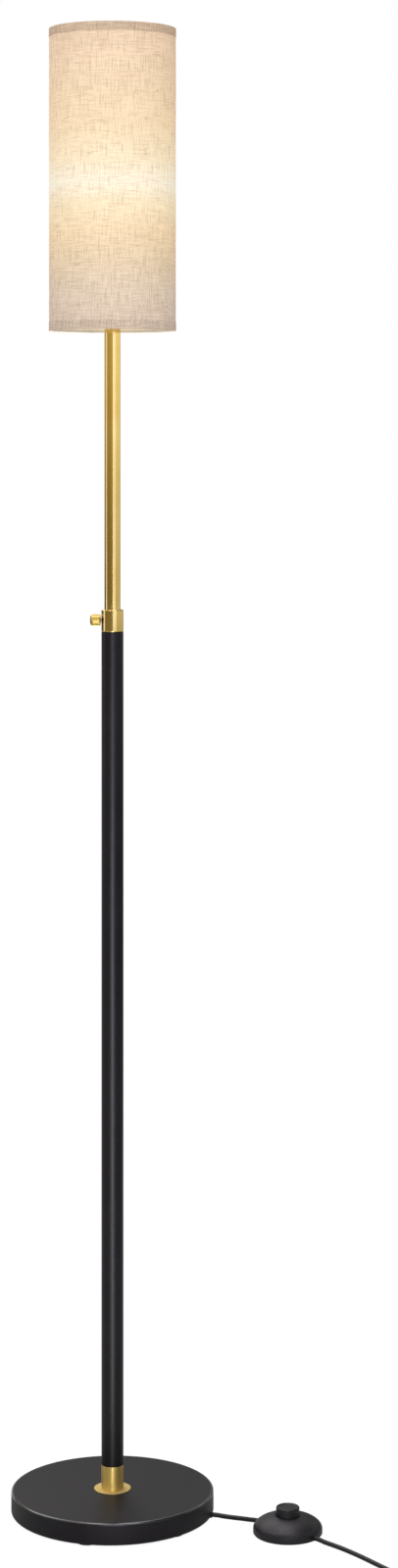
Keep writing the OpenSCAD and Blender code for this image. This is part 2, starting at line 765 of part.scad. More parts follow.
module bulb_body() color(WHITE) {
    neck = bulb_cap_d / 2 + 0.3;
    rotate_extrude() polygon(concat(
        [[0, bulb_body_z], [neck, bulb_body_z]],
        [for (i = [1 : 8]) let (t = i / 8)
            [neck + (globe_seat_r - neck) * ease(0.12 + 0.88 * t), bulb_body_z + bulb_body_l * t]],
        [[0, globe_z]]
    ));
}

module bulb_globe() color(WHITE) {
    rise = globe_mid - globe_z;
    low = -asin(rise / globe_r);
    low_in = -asin(rise / (globe_r - globe_wall));
    rotate_extrude() polygon(concat(
        arc(0, globe_mid, globe_r, low, 90, 18),
        arc(0, globe_mid, globe_r - globe_wall, 90, low_in, 18)
    ));
}

// ---- Foot switch ----

module at_switch() {
    translate(switch_at) rotate([0, 0, switch_turn]) children();
}

// Quarter ellipse of the dome, from the rim to the axis
function dome(r, h, steps) = oval(0, tray_h, r, h, 0, 90, steps);

module cord_notches() {
    for (side = [0, 180]) spoke(bush_r, side, switch_r - bush_l - fit_gap, switch_r + past, switch_cord_z);
}

module switch_tray() color(DARK) {
    inner_r = switch_r - switch_wall;
    at_switch() difference() {
        union() {
            rotate_extrude() polygon([[0, 0], [switch_r - 1, 0], [switch_r, 1.2], [switch_r, tray_h],
                [inner_r, tray_h], [inner_r, tray_floor], [0, tray_floor]]);
            for (side = [-1, 1]) translate([0, side * boss_at, 0]) rod(boss_r, tray_floor - 0.5, tray_h);
            for (side = [0, 180]) rotate([0, 0, side])
                translate([switch_r - bush_l - 2, -bush_r - 1.6, tray_floor - 0.5])
                    cube([bush_l + 1, 2 * bush_r + 3.2, tray_h - tray_floor + 0.5]);
        }
        cord_notches();
        for (side = [-1, 1]) translate([0, side * boss_at, 0]) {
            rod(switch_screw_d / 2 + 0.2, -past, tray_h + past);
            rod(switch_screw_d + 0.2, -past, 2);
        }
    }
}

// Domed cover: a lip under its hole holds the button in, and a step round the hole is sunk
module switch_cover() color(DARK) {
    dome_top = tray_h + dome_h;
    at_switch() difference() {
        union() {
            rotate_extrude() difference() {
                polygon(concat([[0, tray_h]], dome(switch_r, dome_h, 20)));
                polygon(concat([[0, tray_h - past], [switch_r - switch_wall, tray_h - past]],
                    dome(switch_r - switch_wall, dome_h - switch_wall, 20)));
            }
            intersection() {
                pipe(hole_r + lip_w, hole_r - past, lip_z, dome_top);
                dome_block();
            }
            for (side = [-1, 1]) intersection() {
                translate([0, side * boss_at, 0]) rod(boss_r - 0.6, tray_h, dome_top);
                dome_block();
            }
        }
        rod(hole_r, tray_h, dome_top + past);
        rod(hole_r + button_ring_w, tray_h + dome_h * 0.89, dome_top + past);
        for (side = [-1, 1]) translate([0, side * boss_at, 0])
            rod(switch_screw_d / 2 + fit_gap, tray_h - past, tray_h + 5.5);
        cord_notches();
    }
}

// Solid that stays just inside the dome's outer face
module dome_block() {
    rotate_extrude() polygon(concat([[0, tray_h]], dome(switch_r - 0.2, dome_h - 0.2, 20)));
}

// Button with a dished top, a flange under the cover's lip and a plunger
module switch_button() color(DARK) {
    roof = button_top - button_roof;
    inner = button_r - switch_wall;
    at_switch() rotate_extrude() polygon(concat(
        [[0, plunger_z], [plunger_d / 2, plunger_z], [plunger_d / 2, roof], [inner, roof],
            [inner, button_flange_top - button_flange_t],
            [button_flange_r, button_flange_top - button_flange_t],
            [button_flange_r, button_flange_top], [button_r, button_flange_top]],
        arc(button_r - button_edge_r, button_top - button_edge_r, button_edge_r, 0, 90, 5),
        [[button_r - 2, button_top], [button_r - 2.8, button_top - 0.6], [0, button_top - 0.6]]
    ));
}

// Spring round the plunger, between the cartridge and the button's roof
module switch_spring() color(STEEL) {
    steps = spring_turns * 14;
    low = cartridge_top + spring_wire_d / 2 + 0.1;
    high = button_top - button_roof - spring_wire_d / 2 - 0.1;
    at_switch() tube([for (i = [0 : steps]) let (a = 360 * spring_turns * i / steps)
        [spring_r * cos(a), spring_r * sin(a), low + (high - low) * i / steps]], spring_wire_d, 6);
}

module switch_cartridge() color(IRON) {
    at_switch() difference() {
        translate([-cartridge[0] / 2, -cartridge[1] / 2, tray_floor]) cube(cartridge);
        rod(plunger_d / 2 + 0.3, plunger_z - button_travel - 0.5, cartridge_top + past);
    }
}

// A brass clamp with its screw on each end of the cartridge
module switch_terminals() color(BRASS) {
    at_switch() around(2) translate([cartridge[0] / 2 + 0.1, -3, tray_floor + 0.4]) {
        cube([5, 6, 5.4]);
        translate([2.5, 3, 5.3]) cylinder(r = 1.7, h = 1.3, $fn = 32);
    }
}

module switch_screws() color(STEEL) {
    at_switch() for (side = [-1, 1]) translate([0, side * boss_at, 0]) rotate_extrude()
        polygon([[0, 0.5], [switch_screw_d - 0.1, 0.5], [switch_screw_d - 0.1, 2],
            [switch_screw_d / 2, 2], [switch_screw_d / 2, tray_h + 4], [0, tray_h + 5]]);
}

module switch_bushes() color(RUBBER) {
    at_switch() for (side = [0, 180])
        spoke(bush_r - fit_gap, side, switch_r - bush_l, switch_r, switch_cord_z);
}

// ---- Cord and plug ----

module cord_lamp_side() color(DARK) {
    tube(lamp_side_route, cord_d, 10);
}

module cord_plug_side() color(DARK) {
    tube(plug_side_route, cord_d, 10);
}

module cord_coil() color(DARK) {
    tube(coil_path, cord_d, coil_sides);
}

module cord_tail() color(DARK) {
    tube(tail_route, cord_d, 10);
}

// Moulded plug: its plan outline and its side outline, cut together, on a ribbed relief
module plug_body() color(DARK) {
    half = plug_w / 2;
    neck = 5.2;
    translate(plug_at) {
        rotate([-90, 0, 0]) difference() {
            cylinder(r1 = cord_d / 2 + 0.7, r2 = neck, h = relief_l + past);
            for (i = [1 : relief_grooves]) translate([0, 0, i * relief_l / 5.2])
                pipe(neck + 1, 2.9, -relief_groove_w / 2, relief_groove_w / 2);
        }
        translate([0, relief_l, 0]) intersection() {
            translate([0, 0, -plug_t / 2]) linear_extrude(plug_t) polygon(concat(
                [[-neck, 0], [neck, 0]],
                [[half * 0.74, plug_l * 0.24], [half * 0.84, plug_l * 0.42], [half, plug_l * 0.62]],
                arc(half - 2, plug_l - 2, 2, 0, 90, 4), arc(2 - half, plug_l - 2, 2, 90, 180, 4),
                [[-half, plug_l * 0.62], [-half * 0.84, plug_l * 0.42], [-half * 0.74, plug_l * 0.24]]
            ));
            translate([half + 1, 0, 0]) rotate([0, -90, 0]) linear_extrude(plug_w + 2) polygon(concat(
                [[-neck, -past], [neck, -past], [neck + 0.6, 2], [plug_t / 2 - 0.6, plug_l * 0.3]],
                arc(plug_t / 2 - 1.6, plug_l - 1.6, 1.6, 0, 90, 4),
                arc(1.6 - plug_t / 2, plug_l - 1.6, 1.6, 90, 180, 4),
                [[0.6 - plug_t / 2, plug_l * 0.3], [-neck - 0.6, 2]]
            ));
        }
    }
}

module plug_blades() color(BRASS) {
    for (side = [-1, 1])
        translate(plug_at + [side * blade_pitch / 2, relief_l + plug_l, 0]) difference() {
            translate([-blade_t / 2, 0, -blade_w / 2]) cube([blade_t, blade_l, blade_w]);
            translate([-blade_t, blade_l - 4, 0]) rotate([0, 90, 0])
                cylinder(d = blade_hole_d, h = 2 * blade_t);
        }
}

base_pads();
base_plate();
plate_screws();
base_weight();
base_cover();
base_flange();
base_nipple();
base_nut();
base_washer();
base_sleeve();
foot_plug();
stand_tube();
clamp_collar();
slide_liner();
thumb_screw();
cord_bush();
base_lead();
stand_lead();
pole_tube();
guide_ring();
head_plug();
head_nipple();
pole_lead();
holder_cap();
holder_body();
holder_core();
screw_shell();
centre_contact();
clamp_ring();
shade_frame();
shade_top_ring();
shade_liner();
shade_linen();
shade_trims();
bulb_cap();
bulb_body();
bulb_globe();
switch_tray();
switch_cover();
switch_button();
switch_spring();
switch_cartridge();
switch_terminals();
switch_screws();
switch_bushes();
cord_lamp_side();
cord_plug_side();
cord_coil();
cord_tail();
plug_body();
plug_blades();
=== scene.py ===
"""Telescopic floor lamp: finishes, cords, cloth and studio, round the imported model. Metres, +Z up."""

import json
import math

import bpy
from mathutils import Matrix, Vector, noise


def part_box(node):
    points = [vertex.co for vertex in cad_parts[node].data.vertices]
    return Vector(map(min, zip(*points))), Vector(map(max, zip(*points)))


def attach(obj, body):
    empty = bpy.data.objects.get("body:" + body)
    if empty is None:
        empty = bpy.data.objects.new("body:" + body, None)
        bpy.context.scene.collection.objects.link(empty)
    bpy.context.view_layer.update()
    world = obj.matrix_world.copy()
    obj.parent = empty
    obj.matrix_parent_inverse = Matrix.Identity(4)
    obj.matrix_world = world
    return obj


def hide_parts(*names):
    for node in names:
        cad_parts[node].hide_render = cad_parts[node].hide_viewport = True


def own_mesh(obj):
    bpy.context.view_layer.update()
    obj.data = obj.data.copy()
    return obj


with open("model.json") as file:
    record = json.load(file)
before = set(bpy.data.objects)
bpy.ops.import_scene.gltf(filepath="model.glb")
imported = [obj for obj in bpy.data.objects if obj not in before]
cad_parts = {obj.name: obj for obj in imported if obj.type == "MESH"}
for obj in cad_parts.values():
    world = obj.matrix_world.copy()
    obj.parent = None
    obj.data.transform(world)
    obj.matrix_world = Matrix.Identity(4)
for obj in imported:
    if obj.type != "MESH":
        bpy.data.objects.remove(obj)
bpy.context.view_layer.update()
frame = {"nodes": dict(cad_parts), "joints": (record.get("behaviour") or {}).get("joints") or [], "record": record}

# The photograph's frame: a level camera whose horizon lies above the middle of the picture
FRAME_H = 1600
FOCAL_PX = 3164
HORIZON_PX = 438.6
EYE = (0.0865, -3.10, 1.082)
SENSOR_MM = 24

# Cord: the listed routes of its free stretches and of its tail
CORD_D = 0.0045
LAMP_SIDE_ROUTE = [
    (0.0995, -0.0175, 0.0036), (0.104, -0.0183, 0.0035), (0.112, -0.0199, 0.0027),
    (0.120, -0.0218, 0.0023), (0.128, -0.0245, 0.0023), (0.136, -0.028, 0.0025),
    (0.1448, -0.0333, 0.0032), (0.1481, -0.0363, 0.0032),
]
PLUG_SIDE_ROUTE = [
    (0.1988, -0.0818, 0.0032), (0.2021, -0.0848, 0.0032), (0.2088, -0.091, 0.0024),
    (0.216, -0.0982, 0.0023), (0.2242, -0.1071, 0.0023), (0.2324, -0.117, 0.0023),
    (0.2403, -0.1273, 0.0023), (0.2478, -0.1378, 0.0023), (0.255, -0.1482, 0.0023),
    (0.262, -0.1583, 0.0023), (0.2692, -0.1686, 0.0024), (0.2764, -0.1789, 0.0028),
    (0.2809, -0.1853, 0.0029), (0.2835, -0.189, 0.0029),
]
TAIL_ROUTE = [
    (0.3392, -0.155, 0.0177), (0.337, -0.147, 0.0157), (0.3354, -0.1385, 0.0128),
    (0.3343, -0.130, 0.010), (0.334, -0.1225, 0.0086), (0.334, -0.118, 0.0086),
]

# Coil: piled loops that spiral in and out again in four layers
COIL_HEADING = math.radians(-55)
COIL_LAYERS = 4
COIL_PITCH = 0.005
COIL_MID_R = 0.026
COIL_TURNS = 9 + 165 / 360
POINTS_PER_TURN = 24
LAYER_TURNS = COIL_TURNS / COIL_LAYERS
COIL_OUT_R = COIL_MID_R + LAYER_TURNS * COIL_PITCH / 2
COIL_FIRST = COIL_HEADING - math.pi / 2
TIE_HEADING = math.radians(-60)

# Colours, as linear light
BLACK_PAINT = (0.0045, 0.0042, 0.0046, 1)
BLACK_DUST = (0.008, 0.0075, 0.008, 1)
COOL_GLOSS = (1.0, 0.9, 1.0, 1)
BRASS_DEEP = (0.72, 0.50, 0.13, 1)
BRASS_LIGHT = (0.80, 0.58, 0.19, 1)
LINEN_PALE = (0.60, 0.53, 0.44, 1)
LINEN_DEEP = (0.34, 0.27, 0.19, 1)
# The tape's colours: the linen's, darkened as painted shade.
TRIM_PALE_PAINTED_SHADE = (0.54, 0.46, 0.37, 1)
TRIM_DEEP_PAINTED_SHADE = (0.30, 0.235, 0.165, 1)
ZINC = (0.55, 0.56, 0.57, 1)
WHITE = (1, 1, 1, 1)
WARM_WHITE = (1.0, 0.86, 0.62, 1)
WARM_GREY = (1.0, 0.84, 0.47, 1)
COOL_WHITE = (0.98, 1.04, 1.02, 1)
SKY_WHITE = (1.0, 1.08, 1.75, 1)

THREAD_PITCH = 0.001

BODY_OF_LAMP = "stand"
BODY_OF_SHADE = "pole"
SWITCH_NODES = [
    "switch_tray", "switch_cover", "switch_button", "switch_cartridge", "switch_terminals",
    "switch_screws", "switch_bushes",
]

# The map of the shade's cloth, and what the CAD boxes don't say about it
CLOTH_MAP = "wound"
TRIM_H = 0.009
FILM_T = 0.0004
LAP_W = 0.010
LAP_T = 0.0005
CLOTH_SIDES = 220
CLOTH_ROWS = 120
SLUB_H = 0.0003
SLUB_START = 0.12
SLUB_FADE = 0.004
FOLD_R = 0.0005
FOLD_STEPS = 6
SMOOTH_DEGREES = 35


def box_of(node):
    """The lowest and highest corner of a CAD node's box."""
    low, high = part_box(node)
    return Vector(low), Vector(high)


# ---- Camera and cords ----


def make_camera():
    """The photograph's camera, level and shifted down to its horizon."""
    data = bpy.data.cameras.new("camera")
    data.sensor_fit = "VERTICAL"
    data.sensor_height = SENSOR_MM
    data.sensor_width = SENSOR_MM
    data.lens = SENSOR_MM * FOCAL_PX / FRAME_H
    data.shift_y = (HORIZON_PX - FRAME_H / 2) / FRAME_H
    camera = bpy.data.objects.new("camera", data)
    camera.location = EYE
    camera.rotation_euler = (math.pi / 2, 0, 0)
    bpy.context.scene.collection.objects.link(camera)
    bpy.context.scene.camera = camera


def ease(t):
    """From 0 to 1 with a soft start and end."""
    s = min(max(t, 0), 1)
    return s * s * (3 - 2 * s)


def coil_radius(turn):
    """The spiral's radius: in over one layer, out over the next."""
    w = turn % (2 * LAYER_TURNS)
    return COIL_OUT_R - COIL_PITCH * min(w, 2 * LAYER_TURNS - w)


def coil_climb(turn):
    """Layers climbed, each within the half turn where the spiral reverses."""
    return sum(ease((turn - k * LAYER_TURNS + 0.25) / 0.5) for k in range(1, COIL_LAYERS))


def coil_route():
    """Centreline of the coil, from where the floor stretch meets it to its last loop's straight lead."""
    start = Vector(PLUG_SIDE_ROUTE[-1])
    along = Vector((math.cos(COIL_HEADING), math.sin(COIL_HEADING), 0))
    first = Vector((math.cos(COIL_FIRST), math.sin(COIL_FIRST), 0))
    middle = start + CORD_D * along - COIL_OUT_R * first
    steps = round(COIL_TURNS * POINTS_PER_TURN)
    route = []
    for i in range(steps + 1):
        turn = i * COIL_TURNS / steps
        a = COIL_FIRST + 2 * math.pi * turn
        r = coil_radius(turn)
        route.append(middle + Vector((r * math.cos(a), r * math.sin(a), COIL_PITCH * coil_climb(turn))))
    a = COIL_FIRST + 2 * math.pi * COIL_TURNS + math.pi / 2
    route.append(route[-1] + CORD_D * Vector((math.cos(a), math.sin(a), 0)))
    return middle, route


def round_curve(name, route, radius, sides=16):
    """A round tube as a smooth curve through its route."""
    curve = bpy.data.curves.new(name, "CURVE")
    curve.dimensions = "3D"
    curve.bevel_depth = radius
    curve.bevel_resolution = sides // 4 - 1
    curve.resolution_u = 4
    curve.use_fill_caps = True
    spline = curve.splines.new("BEZIER")
    spline.bezier_points.add(len(route) - 1)
    for knot, place in zip(spline.bezier_points, route):
        knot.co = place
        knot.handle_left_type = "AUTO"
        knot.handle_right_type = "AUTO"
    spline.use_smooth = True
    piece = bpy.data.objects.new(name, curve)
    bpy.context.scene.collection.objects.link(piece)
    return piece


def deselect():
    bpy.ops.object.select_all(action="DESELECT")


def only(piece):
    """Selects one piece and nothing else."""
    deselect()
    piece.select_set(True)
    bpy.context.view_layer.objects.active = piece


def as_mesh(piece):
    only(piece)
    bpy.ops.object.convert(target="MESH")
    return bpy.context.view_layer.objects.active


def tube(name, route, radius, sides=16):
    """A smooth round tube as a mesh, with the centres of its rings."""
    line = as_mesh(round_curve(name + "_line", route, 0))
    centres = [tuple(v.co) for v in line.data.vertices]
    bpy.data.objects.remove(line)
    return as_mesh(round_curve(name, route, radius, sides)), centres


def make_cord(name, route, *nodes):
    """A cord in place of those CAD nodes, with the centres of its rings."""
    cord, centres = tube(name, route, CORD_D / 2)
    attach(cord, BODY_OF_LAMP)
    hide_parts(*nodes)
    return cord, centres


make_camera()
coil_middle, coil = coil_route()
lamp_side_cord, lamp_side_line = make_cord(
    "cord_base_to_switch", LAMP_SIDE_ROUTE, "cord_lamp_side"
)
plug_side_cord, plug_side_line = make_cord(
    "cord_switch_to_plug", PLUG_SIDE_ROUTE + coil + TAIL_ROUTE,
    "cord_plug_side", "cord_coil", "cord_tail",
)


# ---- Finishes ----


class Value:
    """A socket in a finish. Arithmetic on it adds Math nodes."""

    def __init__(self, finish, socket):
        self.finish = finish
        self.socket = socket

    def maths(self, operation, *others):
        sockets = dict(enumerate((self, *others)))
        return self.finish.node("ShaderNodeMath", {"operation": operation}, sockets)

    def __add__(self, other):
        return self.maths("ADD", other)

    def __sub__(self, other):
        return self.maths("SUBTRACT", other)

    def __rsub__(self, other):
        return self.maths("MULTIPLY_ADD", -1, other)

    def __mul__(self, other):
        return self.maths("MULTIPLY", other)

    def __truediv__(self, other):
        return self.maths("DIVIDE", other)

    def __pow__(self, other):
        return self.maths("POWER", other)

    def __gt__(self, other):
        return self.maths("GREATER_THAN", other)

    def __lt__(self, other):
        return self.maths("LESS_THAN", other)

    __radd__ = __add__
    __rmul__ = __mul__

    def sine(self):
        return self.maths("SINE")

    def clamp(self):
        return self.maths("MINIMUM", 1).maths("MAXIMUM", 0)

    def between(self, low, high):
        """0 below low, 1 above high, and even between."""
        return ((self - low) / (high - low)).clamp()


class Finish:
    """A material named for its finish: a Principled shader, and the patterns that feed it."""

    def __init__(self, name, colour, roughness, metallic=0.0, **constants):
        self.material = bpy.data.materials.new(name)
        self.material.use_nodes = True
        self.tree = self.material.node_tree
        self.tree.nodes.clear()
        self.shader = self.tree.nodes.new("ShaderNodeBsdfPrincipled")
        output = self.tree.nodes.new("ShaderNodeOutputMaterial")
        self.tree.links.new(self.shader.outputs[0], output.inputs["Surface"])
        self.set(Base_Color=colour, Roughness=roughness, Metallic=metallic, **constants)

    def node(self, kind, settings, sockets, out=0):
        """Adds a node: its settings first, a ramp's stops among them, then its sockets."""
        made = self.tree.nodes.new(kind)
        for key, value in settings.items():
            if key == "stops":
                self.fill_ramp(made.color_ramp, value)
            else:
                setattr(made, key, value)
        for key, value in sockets.items():
            self.feed(made.inputs[key], value)
        return Value(self, made.outputs[out])

    def feed(self, socket, value):
        if isinstance(value, Value):
            self.tree.links.new(value.socket, socket)
        else:
            socket.default_value = value

    def fill_ramp(self, ramp, stops):
        while len(ramp.elements) < len(stops):
            ramp.elements.new(1)
        for element, (place, colour) in zip(ramp.elements, stops):
            element.position = place
            element.color = colour

    def set(self, **sockets):
        """Sets or links the shader's sockets; an underscore stands for a space."""
        for name, value in sockets.items():
            self.feed(self.shader.inputs[name.replace("_", " ")], value)

    def place(self):
        return self.node("ShaderNodeTexCoord", {}, {}, out="Object")

    def parts(self, vector):
        split = self.tree.nodes.new("ShaderNodeSeparateXYZ")
        self.feed(split.inputs[0], vector)
        return [Value(self, split.outputs[k]) for k in range(3)]

    def axes(self):
        """Object coordinates as three values, in metres."""
        return self.parts(self.place())

    def vector(self, x, y, z=0.0):
        return self.node("ShaderNodeCombineXYZ", {}, {0: x, 1: y, 2: z})

    def stretched(self, x, y, z):
        """Object coordinates, scaled by a factor along each axis."""
        sockets = {0: self.place(), 1: (x, y, z)}
        return self.node("ShaderNodeVectorMath", {"operation": "MULTIPLY"}, sockets)

    def noise(self, vector, detail=2.0, roughness=0.5):
        sockets = {"Vector": vector, "Scale": 1.0, "Detail": detail, "Roughness": roughness}
        return self.node("ShaderNodeTexNoise", {}, sockets)

    def grain(self, size, detail=2.0, roughness=0.5):
        """Even noise whose blobs are about that size, in metres."""
        return self.noise(self.stretched(1 / size, 1 / size, 1 / size), detail, roughness)

    def mix(self, factor, a, b):
        """Colour a where the factor is 0, and colour b where it is 1."""
        return self.node("ShaderNodeMix", {"data_type": "RGBA"}, {0: factor, 6: a, 7: b}, out=2)

    def ramp(self, value, stops):
        return self.node("ShaderNodeValToRGB", {"stops": stops}, {0: value})

    def bump(self, height, distance, strength=1.0):
        sockets = {"Strength": strength, "Distance": distance, "Height": height}
        self.set(Normal=self.node("ShaderNodeBump", {}, sockets))


def powder_coat():
    """Matt black powder coat with a fine grain, rubbed glossy at the base's upper edge."""
    finish = Finish(
        "black_powder_coat", BLACK_PAINT, 0.5,
        Specular_IOR_Level=0.28, Specular_Tint=COOL_GLOSS, Coat_Roughness=0.15,
    )
    grain = finish.grain(0.0007, detail=3)
    cloud = finish.grain(0.05, detail=3)
    high = box_of("base_cover")[1]
    x, y, z = finish.axes()
    on_base = 1 - z.between(0.03, 0.05)
    from_axis = (x ** 2 + y ** 2) ** 0.5
    near_rim = from_axis.between(high.x - 0.0026, high.x - 0.0018)
    rubbed = near_rim * z.between(high.z - 0.0019, high.z - 0.0011)
    finish.set(
        Base_Color=finish.mix(cloud.between(0.35, 0.75), BLACK_PAINT, BLACK_DUST),
        Roughness=0.31 + 0.06 * cloud + 0.05 * grain + on_base * (0.12 - 0.30 * rubbed),
        Coat_Weight=rubbed * on_base,
    )
    finish.bump(grain, 0.00006, 0.5)
    return finish


def satin_brass(
    name="satin_brass", deep=BRASS_DEEP, light=BRASS_LIGHT,
    roughness=0.08, low_roughness=0.54, **constants,
):
    """Brass, drawn along Z, with a little tarnish, and more worn near the floor."""
    finish = Finish(name, light, roughness, 1.0, **constants)
    drawn = finish.noise(finish.stretched(2600, 2600, 14), detail=2)
    tarnish = finish.grain(0.035, detail=4, roughness=0.6)
    _, _, z = finish.axes()
    worn = 1 - z.between(0.053, 0.0725)
    finish.set(
        Base_Color=finish.mix(tarnish.between(0.3, 0.7), light, deep),
        Roughness=roughness + 0.06 * drawn + 0.05 * tarnish + (low_roughness - roughness) * worn,
    )
    finish.bump(drawn, 0.00001, 0.4)
    return finish


def turned_brass():
    """The thumb screw's brass, turned round X, darkened all over as painted shade, darkest in its flutes, with a
    painted highlight on its crests.
    """
    low, high = box_of("thumb_screw")
    middle = (low + high) / 2
    crown = (high.z - low.z) / 2
    finish = Finish("turned_brass", BRASS_DEEP, 0.2, 1.0)
    x, y, z = finish.axes()
    from_axis = (y ** 2 + (z - middle.z) ** 2) ** 0.5
    turned = finish.noise(finish.stretched(2600, 60, 60), detail=2)
    # The crests: a painted highlight in the colour, and polish in the roughness.
    crest_polish_and_painted_highlight = from_axis.between(crown - 0.0008, crown - 0.0001)
    crest_polish_and_painted_highlight = crest_polish_and_painted_highlight * (x + 0.0001 - low.x).between(0, 0.0006)
    tarnish = finish.grain(0.002, detail=3)
    # Both colours are brass darkened as painted shade: the flutes far more, as painted shade in the hollows.
    painted_flute_shade = (0.16, 0.085, 0.015, 1)
    crest_shaded_brass = (0.52, 0.36, 0.11, 1)
    finish.set(
        Base_Color=finish.mix(crest_polish_and_painted_highlight * 0.8 + 0.2 * tarnish, painted_flute_shade, crest_shaded_brass),
        Roughness=0.34 - 0.12 * crest_polish_and_painted_highlight + 0.1 * turned,
    )
    finish.bump(turned, 0.00002, 0.5)
    return finish


def threaded_steel():
    """Plated steel with a fine thread, for the hollow nipples on the lamp's axis."""
    finish = plain_metal("threaded_steel", ZINC, 0.3)
    x, y, z = finish.axes()
    turn = z * (1 / THREAD_PITCH) + y.maths("ARCTAN2", x) * (0.5 / math.pi)
    finish.bump((turn * (2 * math.pi)).sine(), 0.0003, 1.0)
    return finish


def plain_metal(name, colour, roughness):
    """Bare or plated metal with a fine grain and duller patches."""
    finish = Finish(name, colour, roughness, 1.0)
    grain = finish.grain(0.0008, detail=3)
    patch = finish.grain(0.012, detail=3)
    dull = tuple(c * 0.72 for c in colour[:3]) + (1,)
    finish.set(
        Base_Color=finish.mix(patch.between(0.35, 0.8), colour, dull),
        Roughness=roughness + 0.18 * grain,
    )
    finish.bump(grain, 0.00003, 0.4)
    return finish


def cast_iron():
    """Rough cast iron with a little rust."""
    iron = (0.07, 0.07, 0.072, 1)
    rusty = (0.10, 0.06, 0.035, 1)
    finish = Finish("cast_iron", iron, 0.7, 0.7)
    rough = finish.grain(0.0016, detail=5, roughness=0.65)
    rust = finish.grain(0.02, detail=4)
    finish.set(
        Base_Color=finish.mix(rust.between(0.55, 0.8), iron, rusty),
        Roughness=0.55 + 0.35 * rough,
    )
    finish.bump(rough, 0.0003, 0.8)
    return finish


def moulded(name, colour, roughness, coat=0.0):
    """Moulded plastic or rubber: a spark-eroded grain, with a faint flow in its colour."""
    finish = Finish(name, colour, roughness, Coat_Weight=coat)
    grain = finish.grain(0.0005, detail=2)
    flow = finish.grain(0.018, detail=3)
    pale = tuple(min(1.0, c * 1.25 + 0.004) for c in colour[:3]) + (1,)
    finish.set(
        Base_Color=finish.mix(flow.between(0.3, 0.8), colour, pale),
        Roughness=roughness - 0.05 + 0.12 * grain,
    )
    finish.bump(grain, 0.00004, 0.5)
    return finish


def switch_shell():
    """Moulded black plastic with the faint rings that its turned tool left."""
    low, high = box_of("switch_cover")
    middle = (low + high) / 2
    finish = Finish(
        "switch_shell", (0.009, 0.009, 0.0095, 1), 0.4,
        Specular_IOR_Level=0.32, Specular_Tint=COOL_GLOSS,
    )
    x, y, _ = finish.axes()
    from_middle = ((x - middle.x) ** 2 + (y - middle.y) ** 2) ** 0.5
    rings = finish.noise(finish.vector(from_middle * 700, 0.0, 0.0), detail=3)
    grain = finish.grain(0.0005)
    dark = (0.008, 0.008, 0.0085, 1)
    pale = (0.014, 0.014, 0.0145, 1)
    finish.set(
        Base_Color=finish.mix(rings.between(0.3, 0.7), dark, pale),
        Roughness=0.34 + 0.10 * rings + 0.06 * grain,
    )
    finish.bump(rings + 0.3 * grain, 0.00025, 0.7)
    return finish


def cord_sheath():
    """Black plastic sheath, slightly rippled and dusty."""
    clean = (0.008, 0.008, 0.0085, 1)
    dusty = (0.022, 0.021, 0.021, 1)
    finish = Finish("cord_sheath", clean, 0.36, Specular_IOR_Level=0.28)
    ripple = finish.grain(0.0015, detail=2)
    dust = finish.grain(0.01, detail=4)
    finish.set(
        Base_Color=finish.mix(dust.between(0.5, 0.9), clean, dusty),
        Roughness=0.30 + 0.15 * ripple,
    )
    finish.bump(ripple, 0.00005, 0.5)
    return finish


def shade_glow(finish, height):
    """Light that comes through the shade, by the height above its lower edge as a share."""
    stops = [
        (0.00, (0.28, 0.20, 0.165, 1)),
        (0.13, (0.35, 0.26, 0.19, 1)),
        (0.22, (0.41, 0.29, 0.165, 1)),
        (0.32, (0.52, 0.36, 0.185, 1)),
        (0.41, (0.58, 0.465, 0.28, 1)),
        (0.48, (0.60, 0.55, 0.44, 1)),
        (0.56, (0.58, 0.465, 0.29, 1)),
        (0.68, (0.53, 0.37, 0.20, 1)),
        (0.88, (0.48, 0.32, 0.185, 1)),
        (1.00, (0.43, 0.27, 0.16, 1)),
    ]
    return finish.ramp(height, stops)


class Cloth:
    """A slubbed weave on a piece's own map: metres round the shade, and metres up it."""

    def __init__(self, finish):
        self.finish = finish
        own_map = finish.node("ShaderNodeUVMap", {"uv_map": CLOTH_MAP}, {})
        self.round, self.height, _ = finish.parts(own_map)

    def streaks(self, across, along, seed, detail=2.0):
        """Noise by the number of its features in a metre round the shade and up it."""
        finish = self.finish
        return finish.noise(finish.vector(self.round * across, self.height * along, seed), detail, 0.55)

    def light(self):
        """How much light the cloth lets through: low on threads, least on slubs."""
        upright = self.streaks(950, 48, 0.0, 2.0)
        lying = self.streaks(60, 1000, 7.3, 2.0)
        share = 0.42 + 0.22 * self.streaks(34, 16, 3.1).between(0.4, 0.6)
        weave = (upright - lying) * share + lying
        slubs = self.streaks(1050, 60, 11.7, 0.0).between(0.69, 0.77)
        slubs = slubs.maths("MAXIMUM", self.streaks(70, 1050, 5.9, 0.0).between(0.70, 0.78))
        specks = self.streaks(760, 660, 17.3, 1.0).between(0.58, 0.72)
        return weave.between(0.30, 0.70) * (1 - 0.9 * slubs) + 0.25 * specks

    def threads(self, pitch):
        """The crowns of the single threads."""
        wave = 2 * math.pi / pitch
        return (self.round * wave).sine() * (self.height * wave).sine()


def linen(name="lit_linen", layers=1):
    """Slubbed linen over a film, lit from within."""
    low, high = box_of("shade_linen")
    finish = Finish(name, LINEN_PALE, 0.85, Emission_Strength=1.0, Specular_IOR_Level=0.2)
    cloth = Cloth(finish)
    light = cloth.light()
    glow = shade_glow(finish, cloth.height.between(0, high.z - low.z))
    through = 0.70 - 0.16 * (layers - 1) + 0.54 * light
    finish.set(
        Base_Color=finish.mix(light.clamp(), LINEN_DEEP, LINEN_PALE),
        Emission_Color=finish.mix(through, (0.06, 0.05, 0.04, 1), glow),
    )
    finish.bump(light + 0.15 * cloth.threads(0.0011), 0.00035, 0.6)
    return finish


